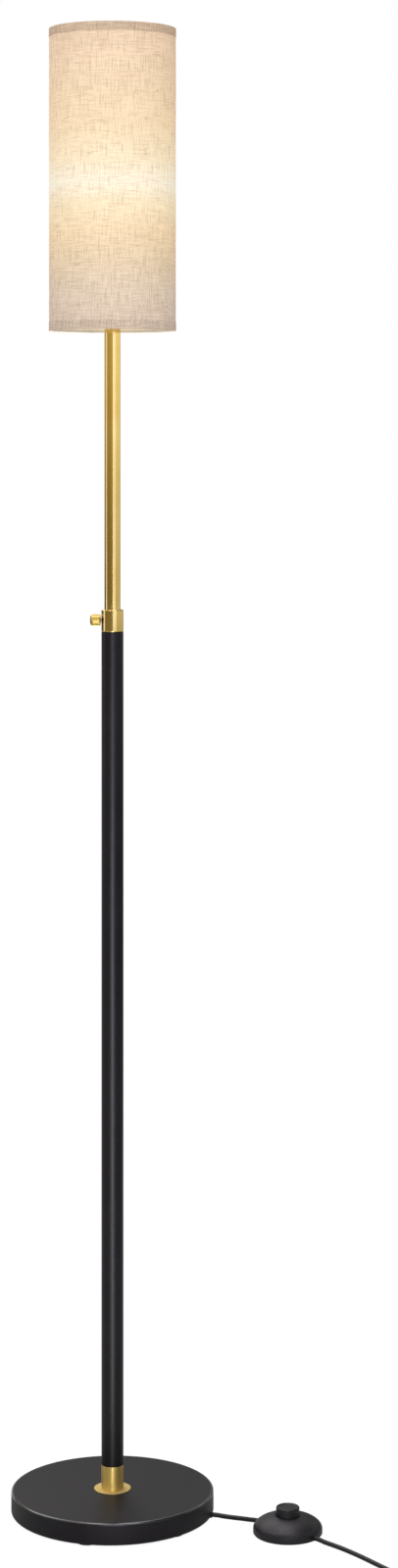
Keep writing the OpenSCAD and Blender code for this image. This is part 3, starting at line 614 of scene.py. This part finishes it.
def trim_tape():
    """Tape of the same linen, folded over the edges: dim outside, where light has to come through, and with the
    linen's colours darkened as painted shade.
    """
    low, high = box_of("shade_linen")
    finish = Finish("linen_trim", TRIM_PALE_PAINTED_SHADE, 0.85, Emission_Strength=1.0, Specular_IOR_Level=0.2)
    cloth = Cloth(finish)
    light = cloth.light()
    upper = cloth.height > (high.z - low.z) / 2
    lower_glow = (0.29, 0.215, 0.175, 1)
    upper_glow = (0.29, 0.17, 0.095, 1)
    inner_glow = (0.95, 0.75, 0.46, 1)
    glow = finish.mix(upper, lower_glow, upper_glow)
    x, y, _ = finish.axes()
    inside = (x ** 2 + y ** 2) ** 0.5 < box_of("shade_liner")[1].x
    glow = finish.mix(inside, glow, inner_glow)
    finish.set(
        Base_Color=finish.mix(light.clamp(), TRIM_DEEP_PAINTED_SHADE, TRIM_PALE_PAINTED_SHADE),
        Emission_Color=finish.mix(0.4 + 0.7 * light, (0.05, 0.035, 0.025, 1), glow),
    )
    finish.bump(light + 0.15 * cloth.threads(0.0011), 0.0003, 0.6)
    return finish


def shade_film():
    """The shade's pale lining, with painted light from the bulb on it, brightest at its lower edge and dimmest at
    its top.
    """
    low, high = box_of("shade_liner")
    finish = Finish("lit_film", (0.86, 0.82, 0.72, 1), 0.55, Emission_Strength=1.0)
    _, _, z = finish.axes()
    stops = [
        (0.00, (0.45, 0.37, 0.25, 1)),
        (0.45, (0.32, 0.275, 0.205, 1)),
        (1.00, (0.25, 0.20, 0.13, 1)),
    ]
    cloud = finish.grain(0.02, detail=2)
    glow = finish.ramp(z.between(low.z, high.z), stops)
    finish.set(Emission_Color=glow, Roughness=0.45 + 0.2 * cloud)
    return finish


def lit_bulb():
    """The bulb's opal cover, warmer towards its cap."""
    low, high = box_of("bulb_globe")
    finish = Finish("lit_opal", (0.95, 0.92, 0.85, 1), 0.3, Emission_Strength=0.5)
    _, _, z = finish.axes()
    cloud = finish.grain(0.02)
    warm = finish.mix(z.between(low.z, high.z), (1.0, 0.80, 0.52, 1), WARM_WHITE)
    finish.set(Emission_Color=warm, Roughness=0.25 + 0.1 * cloud)
    return finish


def make_finishes():
    """One finish for each of the record's material slots."""
    return {
        "black_paint": powder_coat(),
        "brass": satin_brass(),
        "zinc_steel": plain_metal("zinc_steel", ZINC, 0.32),
        "shade_wire": moulded("white_wire_coat", (0.80, 0.78, 0.73, 1), 0.4),
        "cast_iron": cast_iron(),
        "rubber": moulded("black_rubber", (0.012, 0.012, 0.013, 1), 0.7),
        "nylon": moulded("natural_nylon", (0.74, 0.72, 0.64, 1), 0.45),
        "holder_plastic": moulded("holder_bakelite", (0.016, 0.015, 0.016, 1), 0.35),
        "ceramic": moulded("glazed_steatite", (0.82, 0.80, 0.74, 1), 0.18, coat=0.5),
        "contact_brass": satin_brass(
            "contact_brass", (0.50, 0.36, 0.14, 1), (0.72, 0.56, 0.28, 1), 0.3
        ),
        "plug_brass": satin_brass(
            "plug_blade_metal", (0.50, 0.45, 0.30, 1), (0.70, 0.64, 0.46, 1), 0.22
        ),
        "bulb_shell": plain_metal("rolled_aluminium", (0.70, 0.70, 0.69, 1), 0.28),
        "bulb_plastic": moulded("bulb_housing", (0.85, 0.84, 0.80, 1), 0.35),
        "bulb_diffuser": lit_bulb(),
        "linen": linen(),
        "trim_tape": trim_tape(),
        "shade_film": shade_film(),
        "switch_plastic": switch_shell(),
        "cartridge_plastic": moulded("cartridge_shell", (0.10, 0.10, 0.105, 1), 0.5),
        "cord_sheath": cord_sheath(),
        "plug_plastic": moulded("plug_moulding", (0.018, 0.018, 0.019, 1), 0.45),
    }


finishes = make_finishes()


def finish_nodes():
    """Gives each CAD node the finish of its material slot, or its own."""
    thread = threaded_steel()
    sleeve = satin_brass(
        "brushed_brass", low_roughness=0.44, Anisotropic=0.9, Anisotropic_Rotation=0.25
    )
    # The flange gets a darker copy of the brass: painted shade, not a duller metal.
    flange = satin_brass("brass_with_painted_shade", (0.52, 0.38, 0.13, 1), (0.62, 0.47, 0.20, 1))
    own = {
        "thumb_screw": turned_brass(), "base_nipple": thread, "head_nipple": thread,
        "base_sleeve": sleeve, "base_flange": flange,
    }
    for part in frame["record"]["subparts"]:
        name = part["node"]
        finish = own.get(name, finishes[part["material_slot"]])
        for slot in frame["nodes"][name].material_slots:
            slot.material = finish.material


def give(piece, slot_name):
    """Finishes a new piece with the finish of that material slot."""
    piece.data.materials.clear()
    piece.data.materials.append(finishes[slot_name].material)


finish_nodes()
give(lamp_side_cord, "cord_sheath")
give(plug_side_cord, "cord_sheath")


# ---- Pieces inside the stand and the foot switch ----


def travel_of(joint):
    """How far a slide goes down from rest, in metres."""
    return next(-j["range_m"][0] for j in frame["joints"] if j["name"] == joint)


def stand_lead():
    """The lead inside the stand tube, in place of its CAD node."""
    low, high = box_of("stand_lead")
    travel = travel_of("pole_slide")
    steps = 24
    route = [(0, 0, low.z + (high.z - low.z) * i / steps) for i in range(steps + 1)]
    lead, _ = tube("lead_in_stand", route, CORD_D / 2)
    give(lead, "cord_sheath")
    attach(lead, BODY_OF_LAMP)
    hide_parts("stand_lead")
    length = high.z - low.z
    (length - travel) / length
    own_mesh(lead)


def return_spring():
    """The foot switch's spring, with closed end coils, in place of its CAD node."""
    low, high = box_of("switch_spring")
    seat = box_of("switch_cartridge")[1].z
    travel = travel_of("button_press")
    wire = 0.00045
    middle = (low + high) / 2
    r = (high.x - low.x) / 2 - wire
    bottom, top = low.z + wire, high.z - wire
    turns, per_turn = 6, 20
    route = []
    for i in range(turns * per_turn + 1):
        a = 2 * math.pi * i / per_turn
        eased = ease((i / per_turn - 0.5) / (turns - 1))
        steady = min(max((i / per_turn - 0.8) / (turns - 1.6), 0), 1)
        z = bottom + (top - bottom) * (0.4 * eased + 0.6 * steady)
        route.append((middle.x + r * math.cos(a), middle.y + r * math.sin(a), z))
    spring, _ = tube("return_spring", route, wire, sides=8)
    give(spring, "zinc_steel")
    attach(spring, BODY_OF_LAMP)
    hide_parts("switch_spring")
    length = high.z - seat
    keep = (length - travel) / length
    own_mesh(spring)
    return spring


stand_lead()
spring_piece = return_spring()


# ---- The shade's cloth ----


def pick(piece, kind, wanted):
    """Selects the edges or faces that pass a test, and stays in edit mode."""
    only(piece)
    bpy.ops.object.mode_set(mode="EDIT")
    bpy.ops.mesh.select_mode(type=kind)
    bpy.ops.mesh.select_all(action="DESELECT")
    bpy.ops.object.mode_set(mode="OBJECT")
    mesh = piece.data
    if kind == "FACE":
        for face in mesh.polygons:
            face.select = wanted(face)
    if kind == "EDGE":
        for edge in mesh.edges:
            edge.select = wanted(*(mesh.vertices[k].co for k in edge.vertices))
    bpy.ops.object.mode_set(mode="EDIT")


def settle(piece, name):
    """Ends the modelling of a primitive: its place goes into its mesh."""
    bpy.ops.object.mode_set(mode="OBJECT")
    only(piece)
    bpy.ops.object.transform_apply(location=True, rotation=True, scale=True)
    piece.name = name
    piece.data.name = name


def modify(piece, kind, **settings):
    """Adds a modifier and applies it."""
    only(piece)
    modifier = piece.modifiers.new(kind.lower(), kind)
    for key, value in settings.items():
        setattr(modifier, key, value)
    bpy.ops.object.modifier_apply(modifier=modifier.name)


def smooth(piece):
    only(piece)
    bpy.ops.object.shade_smooth_by_angle(angle=math.radians(SMOOTH_DEGREES))


def map_cloth(piece, radius, foot, from_back=False):
    """The piece's own map: metres round the shade, and metres up from its foot.

    Its seam is at the back, or at the front for a piece that lies at the back.
    """
    way = -1 if from_back else 1
    mesh = piece.data
    layer = mesh.uv_layers.new(name=CLOTH_MAP)
    for face in mesh.polygons:
        middle = math.atan2(way * face.center.x, -way * face.center.y)
        for k in face.loop_indices:
            place = mesh.vertices[mesh.loops[k].vertex_index].co
            angle = math.atan2(way * place.x, -way * place.y)
            angle += 2 * math.pi * round((middle - angle) / (2 * math.pi))
            layer.data[k].uv = (radius * (angle + math.pi), place.z - foot)


def slub(x, z):
    """Relief of the yarns' thick places, 0 on plain cloth, by the distance round and the height."""
    upright = noise.noise(Vector((x * 420, z * 26, 1.7)))
    lying = noise.noise(Vector((x * 30, z * 420, 8.1)))
    return max(0, upright - SLUB_START) + max(0, lying - SLUB_START)


def linen_skin():
    """The linen itself: one cloth wrapped round the film, with the relief of its slubs."""
    low, high = box_of("shade_linen")
    wall = high.x - box_of("shade_liner")[1].x
    radius = high.x
    deselect()
    bpy.ops.mesh.primitive_cylinder_add(
        vertices=CLOTH_SIDES, radius=radius, depth=high.z - low.z, end_fill_type="NOTHING",
        location=(0, 0, (low.z + high.z) / 2),
    )
    skin = bpy.context.object
    settle(skin, "linen_skin")
    pick(skin, "EDGE", lambda a, b: abs(a.z - b.z) > 0.1)
    bpy.ops.mesh.subdivide(number_cuts=CLOTH_ROWS - 1)
    bpy.ops.object.mode_set(mode="OBJECT")
    modify(skin, "SOLIDIFY", thickness=wall, offset=-1)
    for vertex in skin.data.vertices:
        out = math.hypot(vertex.co.x, vertex.co.y)
        free = min(vertex.co.z - low.z, high.z - vertex.co.z) - TRIM_H
        if out > radius - wall / 2 and free > 0:
            round_it = radius * math.atan2(vertex.co.x, -vertex.co.y)
            proud = SLUB_H * slub(round_it, vertex.co.z) * min(1, free / SLUB_FADE)
            vertex.co.x *= 1 + proud / out
            vertex.co.y *= 1 + proud / out
    map_cloth(skin, radius, low.z)
    smooth(skin)
    give(skin, "linen")
    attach(skin, BODY_OF_SHADE)
    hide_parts("shade_linen")
    return skin


def linen_lap():
    """The cloth's turned-in end, lapped over its start at the back."""
    low, high = box_of("shade_linen")
    foot, top = low.z + TRIM_H, high.z - TRIM_H
    ripple_h = 0.00012
    stand_off = 0.00022
    deselect()
    bpy.ops.mesh.primitive_grid_add(x_subdivisions=10, y_subdivisions=110, size=1)
    lap = bpy.context.object
    for vertex in lap.data.vertices:
        angle = vertex.co.x * LAP_W / high.x
        ripple = ripple_h * noise.noise(Vector((vertex.co.x * 2, vertex.co.y * 40, 4.4)))
        out = high.x + stand_off + ripple
        height = foot + (vertex.co.y + 0.5) * (top - foot)
        vertex.co = (-out * math.sin(angle), out * math.cos(angle), height)
    settle(lap, "linen_lap")
    modify(lap, "SOLIDIFY", thickness=LAP_T, offset=0)
    modify(lap, "BEVEL", width=0.00012, segments=2)
    map_cloth(lap, high.x, low.z, from_back=True)
    smooth(lap)
    give(lap, "linen")
    lap.data.materials[0] = linen("linen_lap", layers=2).material
    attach(lap, BODY_OF_SHADE)
    return lap


def spun(name, outline, steps):
    """A closed outline of radii and heights, spun round the lamp's axis."""
    deselect()
    bpy.ops.mesh.primitive_circle_add(vertices=len(outline), radius=1)
    piece = bpy.context.object
    for vertex, (radius, height) in zip(piece.data.vertices, outline):
        vertex.co = (radius, 0, height)
    settle(piece, name)
    bpy.ops.object.mode_set(mode="EDIT")
    bpy.ops.mesh.select_all(action="SELECT")
    bpy.ops.mesh.spin(steps=steps, angle=2 * math.pi, center=(0, 0, 0), axis=(0, 0, 1))
    bpy.ops.mesh.select_all(action="SELECT")
    bpy.ops.mesh.remove_doubles(threshold=0.000001)
    bpy.ops.mesh.normals_make_consistent(inside=False)
    bpy.ops.object.mode_set(mode="OBJECT")
    return piece


def folded_outline(edge, way):
    """A tape folded over the shade's edge at that height: outer leg, soft fold, inner leg."""
    outer = box_of("shade_trims")[1].x
    skin = box_of("shade_linen")[1].x
    tape = outer - skin
    film_in = box_of("shade_liner")[1].x - FILM_T
    inner = film_in - tape
    quarter = [math.pi / 2 * k / FOLD_STEPS for k in range(FOLD_STEPS + 1)]
    fold = [(outer - FOLD_R + FOLD_R * math.cos(a), FOLD_R - FOLD_R * math.sin(a)) for a in quarter]
    fold += [(inner + FOLD_R - FOLD_R * math.sin(a), FOLD_R - FOLD_R * math.cos(a)) for a in quarter]
    legs = [(inner, TRIM_H), (film_in, TRIM_H), (film_in, tape), (skin, tape), (skin, TRIM_H)]
    legs += [(outer - tape / 3, TRIM_H), (outer, TRIM_H - tape / 2)]
    return [(radius, edge + way * height) for radius, height in fold + legs]


def trim_tapes():
    """The tapes folded over both edges of the shade."""
    low, high = box_of("shade_trims")
    tapes = spun("trim_tapes", folded_outline(low.z, 1), CLOTH_SIDES)
    upper = spun("upper_tape", folded_outline(high.z, -1), CLOTH_SIDES)
    only(tapes)
    upper.select_set(True)
    bpy.ops.object.join()
    map_cloth(tapes, high.x, box_of("shade_linen")[0].z)
    smooth(tapes)
    give(tapes, "trim_tape")
    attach(tapes, BODY_OF_SHADE)
    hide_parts("shade_trims")
    return tapes


linen_piece = linen_skin()
lap_piece = linen_lap()
tape_pieces = trim_tapes()


# ---- Small pieces ----

SCREW_BEARINGS = (50, 170, 290)
SCREW_CIRCLE_R = 0.062
RECESS_SIZE = (0.0038, 0.0008, 0.0018)
RECESS_TURN = 0.4
TURN_BY_BEARING = 1.9


def coil_tie():
    """A rubber strap round the coil, its tongue lapped over its outer side."""
    wall = 0.0006
    width = 0.009
    corner = 0.002
    slack = 0.0002
    inner_slack = 0.0008
    foot_slack = 0.00002
    inner = COIL_OUT_R - COIL_PITCH * LAYER_TURNS - CORD_D / 2 - inner_slack
    outer = COIL_OUT_R + CORD_D / 2 + slack
    foot = coil_middle.z - CORD_D / 2 - foot_slack
    top = coil_middle.z + (COIL_LAYERS - 1) * COIL_PITCH + CORD_D / 2 + slack
    out = Vector((math.cos(TIE_HEADING), math.sin(TIE_HEADING), 0))
    side = Vector((-out.y, out.x, 0))
    turned = (0, 0, TIE_HEADING)

    def block(radius, height, size):
        place = Vector((coil_middle.x, coil_middle.y, height)) + radius * out
        deselect()
        bpy.ops.mesh.primitive_cube_add(size=1, location=place, rotation=turned, scale=size)
        return bpy.context.object

    tie = block((inner + outer) / 2, (foot + top) / 2, (outer - inner, width, top - foot))
    settle(tie, "coil_tie")
    pick(tie, "FACE", lambda face: abs(face.normal.dot(side)) > 0.9)
    bpy.ops.mesh.delete(type="ONLY_FACE")
    bpy.ops.object.mode_set(mode="OBJECT")
    pick(tie, "EDGE", lambda a, b: abs((a - b).normalized().dot(side)) > 0.9)
    bpy.ops.mesh.bevel(offset=corner, segments=5, affect="EDGES")
    bpy.ops.object.mode_set(mode="OBJECT")
    modify(tie, "SOLIDIFY", thickness=wall, offset=1, use_even_offset=True)
    modify(tie, "BEVEL", width=0.00015, segments=2)
    tongue_size = (wall, width * 0.94, (top - foot) * 0.62)
    tongue = block(outer + 1.5 * wall, (foot + top) / 2, tongue_size)
    settle(tongue, "tie_tongue")
    modify(tongue, "BEVEL", width=0.0002, segments=3)
    only(tie)
    tongue.select_set(True)
    bpy.ops.object.join()
    smooth(tie)
    give(tie, "rubber")
    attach(tie, BODY_OF_LAMP)
    return tie


def plate_screws():
    """The three screws under the base, each with a cross recess."""
    low, high = box_of("plate_screws")
    head, shaft, rise = 0.0036, 0.002, 0.001
    under = low.z + 0.0016
    outline = [
        (0, low.z), (head - 0.0014, low.z), (head - 0.0004, low.z + 0.0004), (head, low.z + rise),
        (head, under), (shaft, under), (shaft, high.z - 0.001), (shaft - 0.0008, high.z), (0, high.z),
    ]
    screw = spun("plate_screws", outline, 32)
    for turn in (0, math.pi / 2):
        deselect()
        bpy.ops.mesh.primitive_cube_add(
            size=1, location=(0, 0, low.z), scale=RECESS_SIZE, rotation=(0, 0, turn + RECESS_TURN)
        )
        cutter = bpy.context.object
        modify(screw, "BOOLEAN", object=cutter, operation="DIFFERENCE")
        bpy.data.objects.remove(cutter)
    copies = []
    for bearing in SCREW_BEARINGS:
        a = math.radians(bearing)
        only(screw)
        bpy.ops.object.duplicate()
        copy = bpy.context.object
        copy.location = (SCREW_CIRCLE_R * math.cos(a), SCREW_CIRCLE_R * math.sin(a), 0)
        copy.rotation_euler = (0, 0, TURN_BY_BEARING * a)
        settle(copy, f"screw_{bearing}")
        copies.append(copy)
    only(copies[0])
    for copy in copies[1:]:
        copy.select_set(True)
    bpy.ops.object.join()
    joined = bpy.context.object
    bpy.data.objects.remove(screw)
    joined.name = "screws_under_base"
    smooth(joined)
    give(joined, "zinc_steel")
    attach(joined, BODY_OF_LAMP)
    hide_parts("plate_screws")


tie_piece = coil_tie()
plate_screws()


[frame["nodes"][n] for n in SWITCH_NODES] + [spring_piece]


# ---- Studio ----

FLOOR_GREY = (0.82, 0.82, 0.82, 1)
FLOOR_GLOW = 1.26
FLOOR_WHITE_SHARE = 0.72
FLOOR_MIRRORED_SHARE = 0.05
WORLD_LIGHT = 0.42
LOUVRES_SHUT = -0.12
LOUVRES_OPEN = -0.02
LOUVRES_LEAK = 0.06


def seen_white(tree, shader, plain, share, mirrored_share):
    """Mixes a shader with plain white, by one share for the camera and another in reflections."""

    def maths(operation, a, b):
        made = tree.nodes.new("ShaderNodeMath")
        made.operation = operation
        for socket, value in zip(made.inputs, (a, b)):
            if isinstance(value, float):
                socket.default_value = value
            else:
                tree.links.new(value, socket)
        return made.outputs[0]

    path = tree.nodes.new("ShaderNodeLightPath").outputs
    direct = maths("MAXIMUM", path["Is Camera Ray"], path["Is Transmission Ray"])
    direct = maths("MULTIPLY", direct, share)
    mirrored = maths("MULTIPLY", path["Is Glossy Ray"], mirrored_share)
    both = maths("MAXIMUM", direct, mirrored)
    mix = tree.nodes.new("ShaderNodeMixShader")
    tree.links.new(both, mix.inputs[0])
    tree.links.new(shader.outputs[0], mix.inputs[1])
    tree.links.new(plain.outputs[0], mix.inputs[2])
    return mix


def make_floor():
    """A floor that the camera sees as nearly white, with the lamp's shadow on it."""
    bpy.ops.mesh.primitive_plane_add(size=60)
    floor = bpy.context.object
    floor.name = "studio_floor"
    material = bpy.data.materials.new("studio_floor")
    material.use_nodes = True
    tree = material.node_tree
    tree.nodes.clear()
    diffuse = tree.nodes.new("ShaderNodeBsdfDiffuse")
    diffuse.inputs["Color"].default_value = FLOOR_GREY
    plain = tree.nodes.new("ShaderNodeEmission")
    plain.inputs["Color"].default_value = WHITE
    plain.inputs["Strength"].default_value = FLOOR_GLOW
    output = tree.nodes.new("ShaderNodeOutputMaterial")
    mix = seen_white(tree, diffuse, plain, FLOOR_WHITE_SHARE, FLOOR_MIRRORED_SHARE)
    tree.links.new(mix.outputs[0], output.inputs["Surface"])
    floor.data.materials.append(material)


def make_world():
    """A soft even light, which the camera sees as white."""
    world = bpy.data.worlds.new("studio")
    world.use_nodes = True
    tree = world.node_tree
    tree.nodes.clear()
    soft = tree.nodes.new("ShaderNodeBackground")
    soft.inputs["Color"].default_value = WHITE
    soft.inputs["Strength"].default_value = WORLD_LIGHT
    plain = tree.nodes.new("ShaderNodeBackground")
    plain.inputs["Color"].default_value = WHITE
    plain.inputs["Strength"].default_value = 1.0
    output = tree.nodes.new("ShaderNodeOutputWorld")
    mix = seen_white(tree, soft, plain, 1.0, 1.0)
    tree.links.new(mix.outputs[0], output.inputs["Surface"])
    bpy.context.scene.world = world


def around(azimuth, distance, height):
    """A place round the lamp: azimuth 0 is in front, and 90 is on its right."""
    a = math.radians(azimuth)
    return (distance * math.sin(a), -distance * math.cos(a), height)


def make_lamp(name, place, target, size, radiance):
    """A soft box of that brightness, which no reflection shows: the cards do."""
    data = bpy.data.lights.new(name, "AREA")
    data.shape = "RECTANGLE"
    data.size, data.size_y = size
    data.energy = radiance * math.pi * size[0] * size[1]
    lamp = bpy.data.objects.new(name, data)
    lamp.visible_glossy = False
    lamp.location = place
    lamp.rotation_euler = (Vector(target) - Vector(place)).to_track_quat("-Z", "Y").to_euler()
    bpy.context.scene.collection.objects.link(lamp)


def blended(tree, greys):
    """A strength that blends between greys at the heights of CARD_HEIGHTS."""
    split = tree.nodes.new("ShaderNodeSeparateXYZ")
    tree.links.new(tree.nodes.new("ShaderNodeTexCoord").outputs["Object"], split.inputs[0])
    strength = None
    for k in range(1, len(greys)):
        step = tree.nodes.new("ShaderNodeMapRange")
        step.inputs["From Min"].default_value = CARD_HEIGHTS[k - 1]
        step.inputs["From Max"].default_value = CARD_HEIGHTS[k]
        step.inputs["To Min"].default_value = greys[0] if k == 1 else 0
        step.inputs["To Max"].default_value = greys[k] - (0 if k == 1 else greys[k - 1])
        tree.links.new(split.outputs[2], step.inputs["Value"])
        if strength is None:
            strength = step.outputs[0]
        else:
            added = tree.nodes.new("ShaderNodeMath")
            added.operation = "ADD"
            tree.links.new(strength, added.inputs[0])
            tree.links.new(step.outputs[0], added.inputs[1])
            strength = added.outputs[0]
    return strength


def louvred(tree, grey):
    """A strength that shines up and level, and hardly down, as a soft box with louvres does."""
    split = tree.nodes.new("ShaderNodeSeparateXYZ")
    tree.links.new(tree.nodes.new("ShaderNodeNewGeometry").outputs["Incoming"], split.inputs[0])
    step = tree.nodes.new("ShaderNodeMapRange")
    step.inputs["From Min"].default_value = LOUVRES_SHUT
    step.inputs["From Max"].default_value = LOUVRES_OPEN
    step.inputs["To Min"].default_value = LOUVRES_LEAK * grey
    step.inputs["To Max"].default_value = grey
    tree.links.new(split.outputs[2], step.inputs["Value"])
    return step.outputs[0]


def make_card(name, corners, grey, tint=WHITE, louvres=False):
    """A card that only reflections show: one grey, or one at each of the card heights."""
    bpy.ops.mesh.primitive_plane_add(size=1)
    card = bpy.context.object
    card.name = name
    for vertex, corner in zip(card.data.vertices, (corners[0], corners[1], corners[3], corners[2])):
        vertex.co = corner
    material = bpy.data.materials.new(name)
    material.use_nodes = True
    tree = material.node_tree
    tree.nodes.clear()
    plain = tree.nodes.new("ShaderNodeEmission")
    plain.inputs["Color"].default_value = tint
    if isinstance(grey, tuple):
        tree.links.new(blended(tree, grey), plain.inputs["Strength"])
    elif louvres:
        tree.links.new(louvred(tree, grey), plain.inputs["Strength"])
    else:
        plain.inputs["Strength"].default_value = grey
    output = tree.nodes.new("ShaderNodeOutputMaterial")
    tree.links.new(plain.outputs[0], output.inputs["Surface"])
    card.data.materials.append(material)
    card.visible_camera = False
    card.visible_diffuse = False
    card.visible_shadow = False
    card.visible_transmission = False


def stand_card(name, left, right, low, high, grey, tint=WHITE, louvres=False):
    """An upright card between two azimuths and two heights."""
    ends = [around(left, CARD_DISTANCE, low), around(right, CARD_DISTANCE, low)]
    ends += [around(right, CARD_DISTANCE, high), around(left, CARD_DISTANCE, high)]
    make_card(name, ends, grey, tint, louvres)


CARD_DISTANCE = 2.2
CARD_HEIGHTS = (0.76, 0.90, 1.15)
CARDS_MEET = 0.70
ABOVE_FLOOR = 0.002
STRIP_LEFT = -8
STRIP_RIGHT = 12
STRIP_TOP = 0.52
FLOOR_STRIP_NEAR = 0.27
FLOOR_STRIP_FAR = 2.19
ROOF_LEFT = 40
ROOF_W = 36
CEILING = 2.9
# Left and right edge, the grey at each of the card heights or one grey, and the tint
HIGH_CARDS = [
    (-170, -138, (0.07, 0.25, 0.50), WARM_GREY),
    (-138, -104, (0.05, 0.35, 0.60), WARM_GREY),
    (-104, -85, (1.5, 0.95, 1.25), SKY_WHITE),
    (-85, -50, (0.20, 0.22, 0.48), WARM_GREY),
    (-50, -20, (0.20, 0.25, 0.50), WARM_GREY),
    (-20, 6, (0.16, 0.26, 0.60), WARM_GREY),
    (6, 44, (1.55, 1.10, 1.45), SKY_WHITE),
    (44, 80, (0.75, 0.80, 1.15), WHITE),
    (80, 115, (0.72, 0.72, 1.05), WHITE),
    (115, 150, (0.66, 0.66, 1.0), WHITE),
    (150, 170, 0.30, WHITE),
    (170, 190, 0.40, WHITE),
]
# Left and right edge, and the grey
LOW_CARDS = [
    (-170, -138, 0.8), (-138, -107, 0.3), (-107, -82, 0.4), (-82, -52, 0.4), (-52, -22, 0.4),
    (-22, STRIP_LEFT, 0.3), (STRIP_RIGHT, 46, 0.12), (46, 80, 0.15), (80, 115, 0.15),
    (115, 150, 0.15), (150, 170, 0.12), (170, 190, 0.30),
]


def make_standing_cards():
    """Grey and white cards for the brass above, darker ones and one strip for the paint below."""
    for k, (left, right, greys, tint) in enumerate(HIGH_CARDS):
        stand_card(f"high_card_{k}", left, right, 0.71, 1.35, greys, tint)
    for k, (left, right, grey) in enumerate(LOW_CARDS):
        stand_card(f"low_card_{k}", left, right, ABOVE_FLOOR, CARDS_MEET, grey)
    stand_card(
        "strip", STRIP_LEFT, STRIP_RIGHT, ABOVE_FLOOR, STRIP_TOP, 10.5, COOL_WHITE, louvres=True
    )
    stand_card("strip_cap", STRIP_LEFT, STRIP_RIGHT, STRIP_TOP, CARDS_MEET, 0.6)
    stand_card("left_high_card", -172, -100, 1.4, 2.8, 3.0)
    stand_card("right_high_card", 100, 172, 1.4, 2.8, 0.3)


def make_lying_cards():
    """The strip along the floor, a dark roof at the right, and soft light from above."""
    lying = [
        around(STRIP_LEFT, FLOOR_STRIP_NEAR, ABOVE_FLOOR),
        around(STRIP_RIGHT, FLOOR_STRIP_NEAR, ABOVE_FLOOR),
        around(STRIP_RIGHT, FLOOR_STRIP_FAR, ABOVE_FLOOR),
        around(STRIP_LEFT, FLOOR_STRIP_FAR, ABOVE_FLOOR),
    ]
    make_card("floor_strip", lying, 6.8, COOL_WHITE)
    for k in range(3):
        left = ROOF_LEFT + ROOF_W * k
        roof = [around(left, CARD_DISTANCE, 1.36), around(left + ROOF_W, CARD_DISTANCE, 1.36)]
        roof += [around(left + ROOF_W, 0.7, CEILING), around(left, 0.7, CEILING)]
        make_card(f"roof_card_{k}", roof, 0.12)
    top = [around(-80, 1.9, 1.9), around(40, 1.9, 1.9), around(40, 1.0, 2.8), around(-80, 1.0, 2.8)]
    make_card("top_card", top, 5.0)
    above = [(-0.6, -0.4, CEILING), (0.6, -0.4, CEILING), (0.6, 1.6, CEILING), (-0.6, 1.6, CEILING)]
    make_card("overhead_card", above, 5.0)


make_floor()
make_world()
make_lamp("front", around(-1, 3.3, 1.9), (0, 0, 0.8), (1.6, 1.6), 7.5)
make_standing_cards()
make_lying_cards()

view = bpy.context.scene.view_settings
view.view_transform = "Standard"
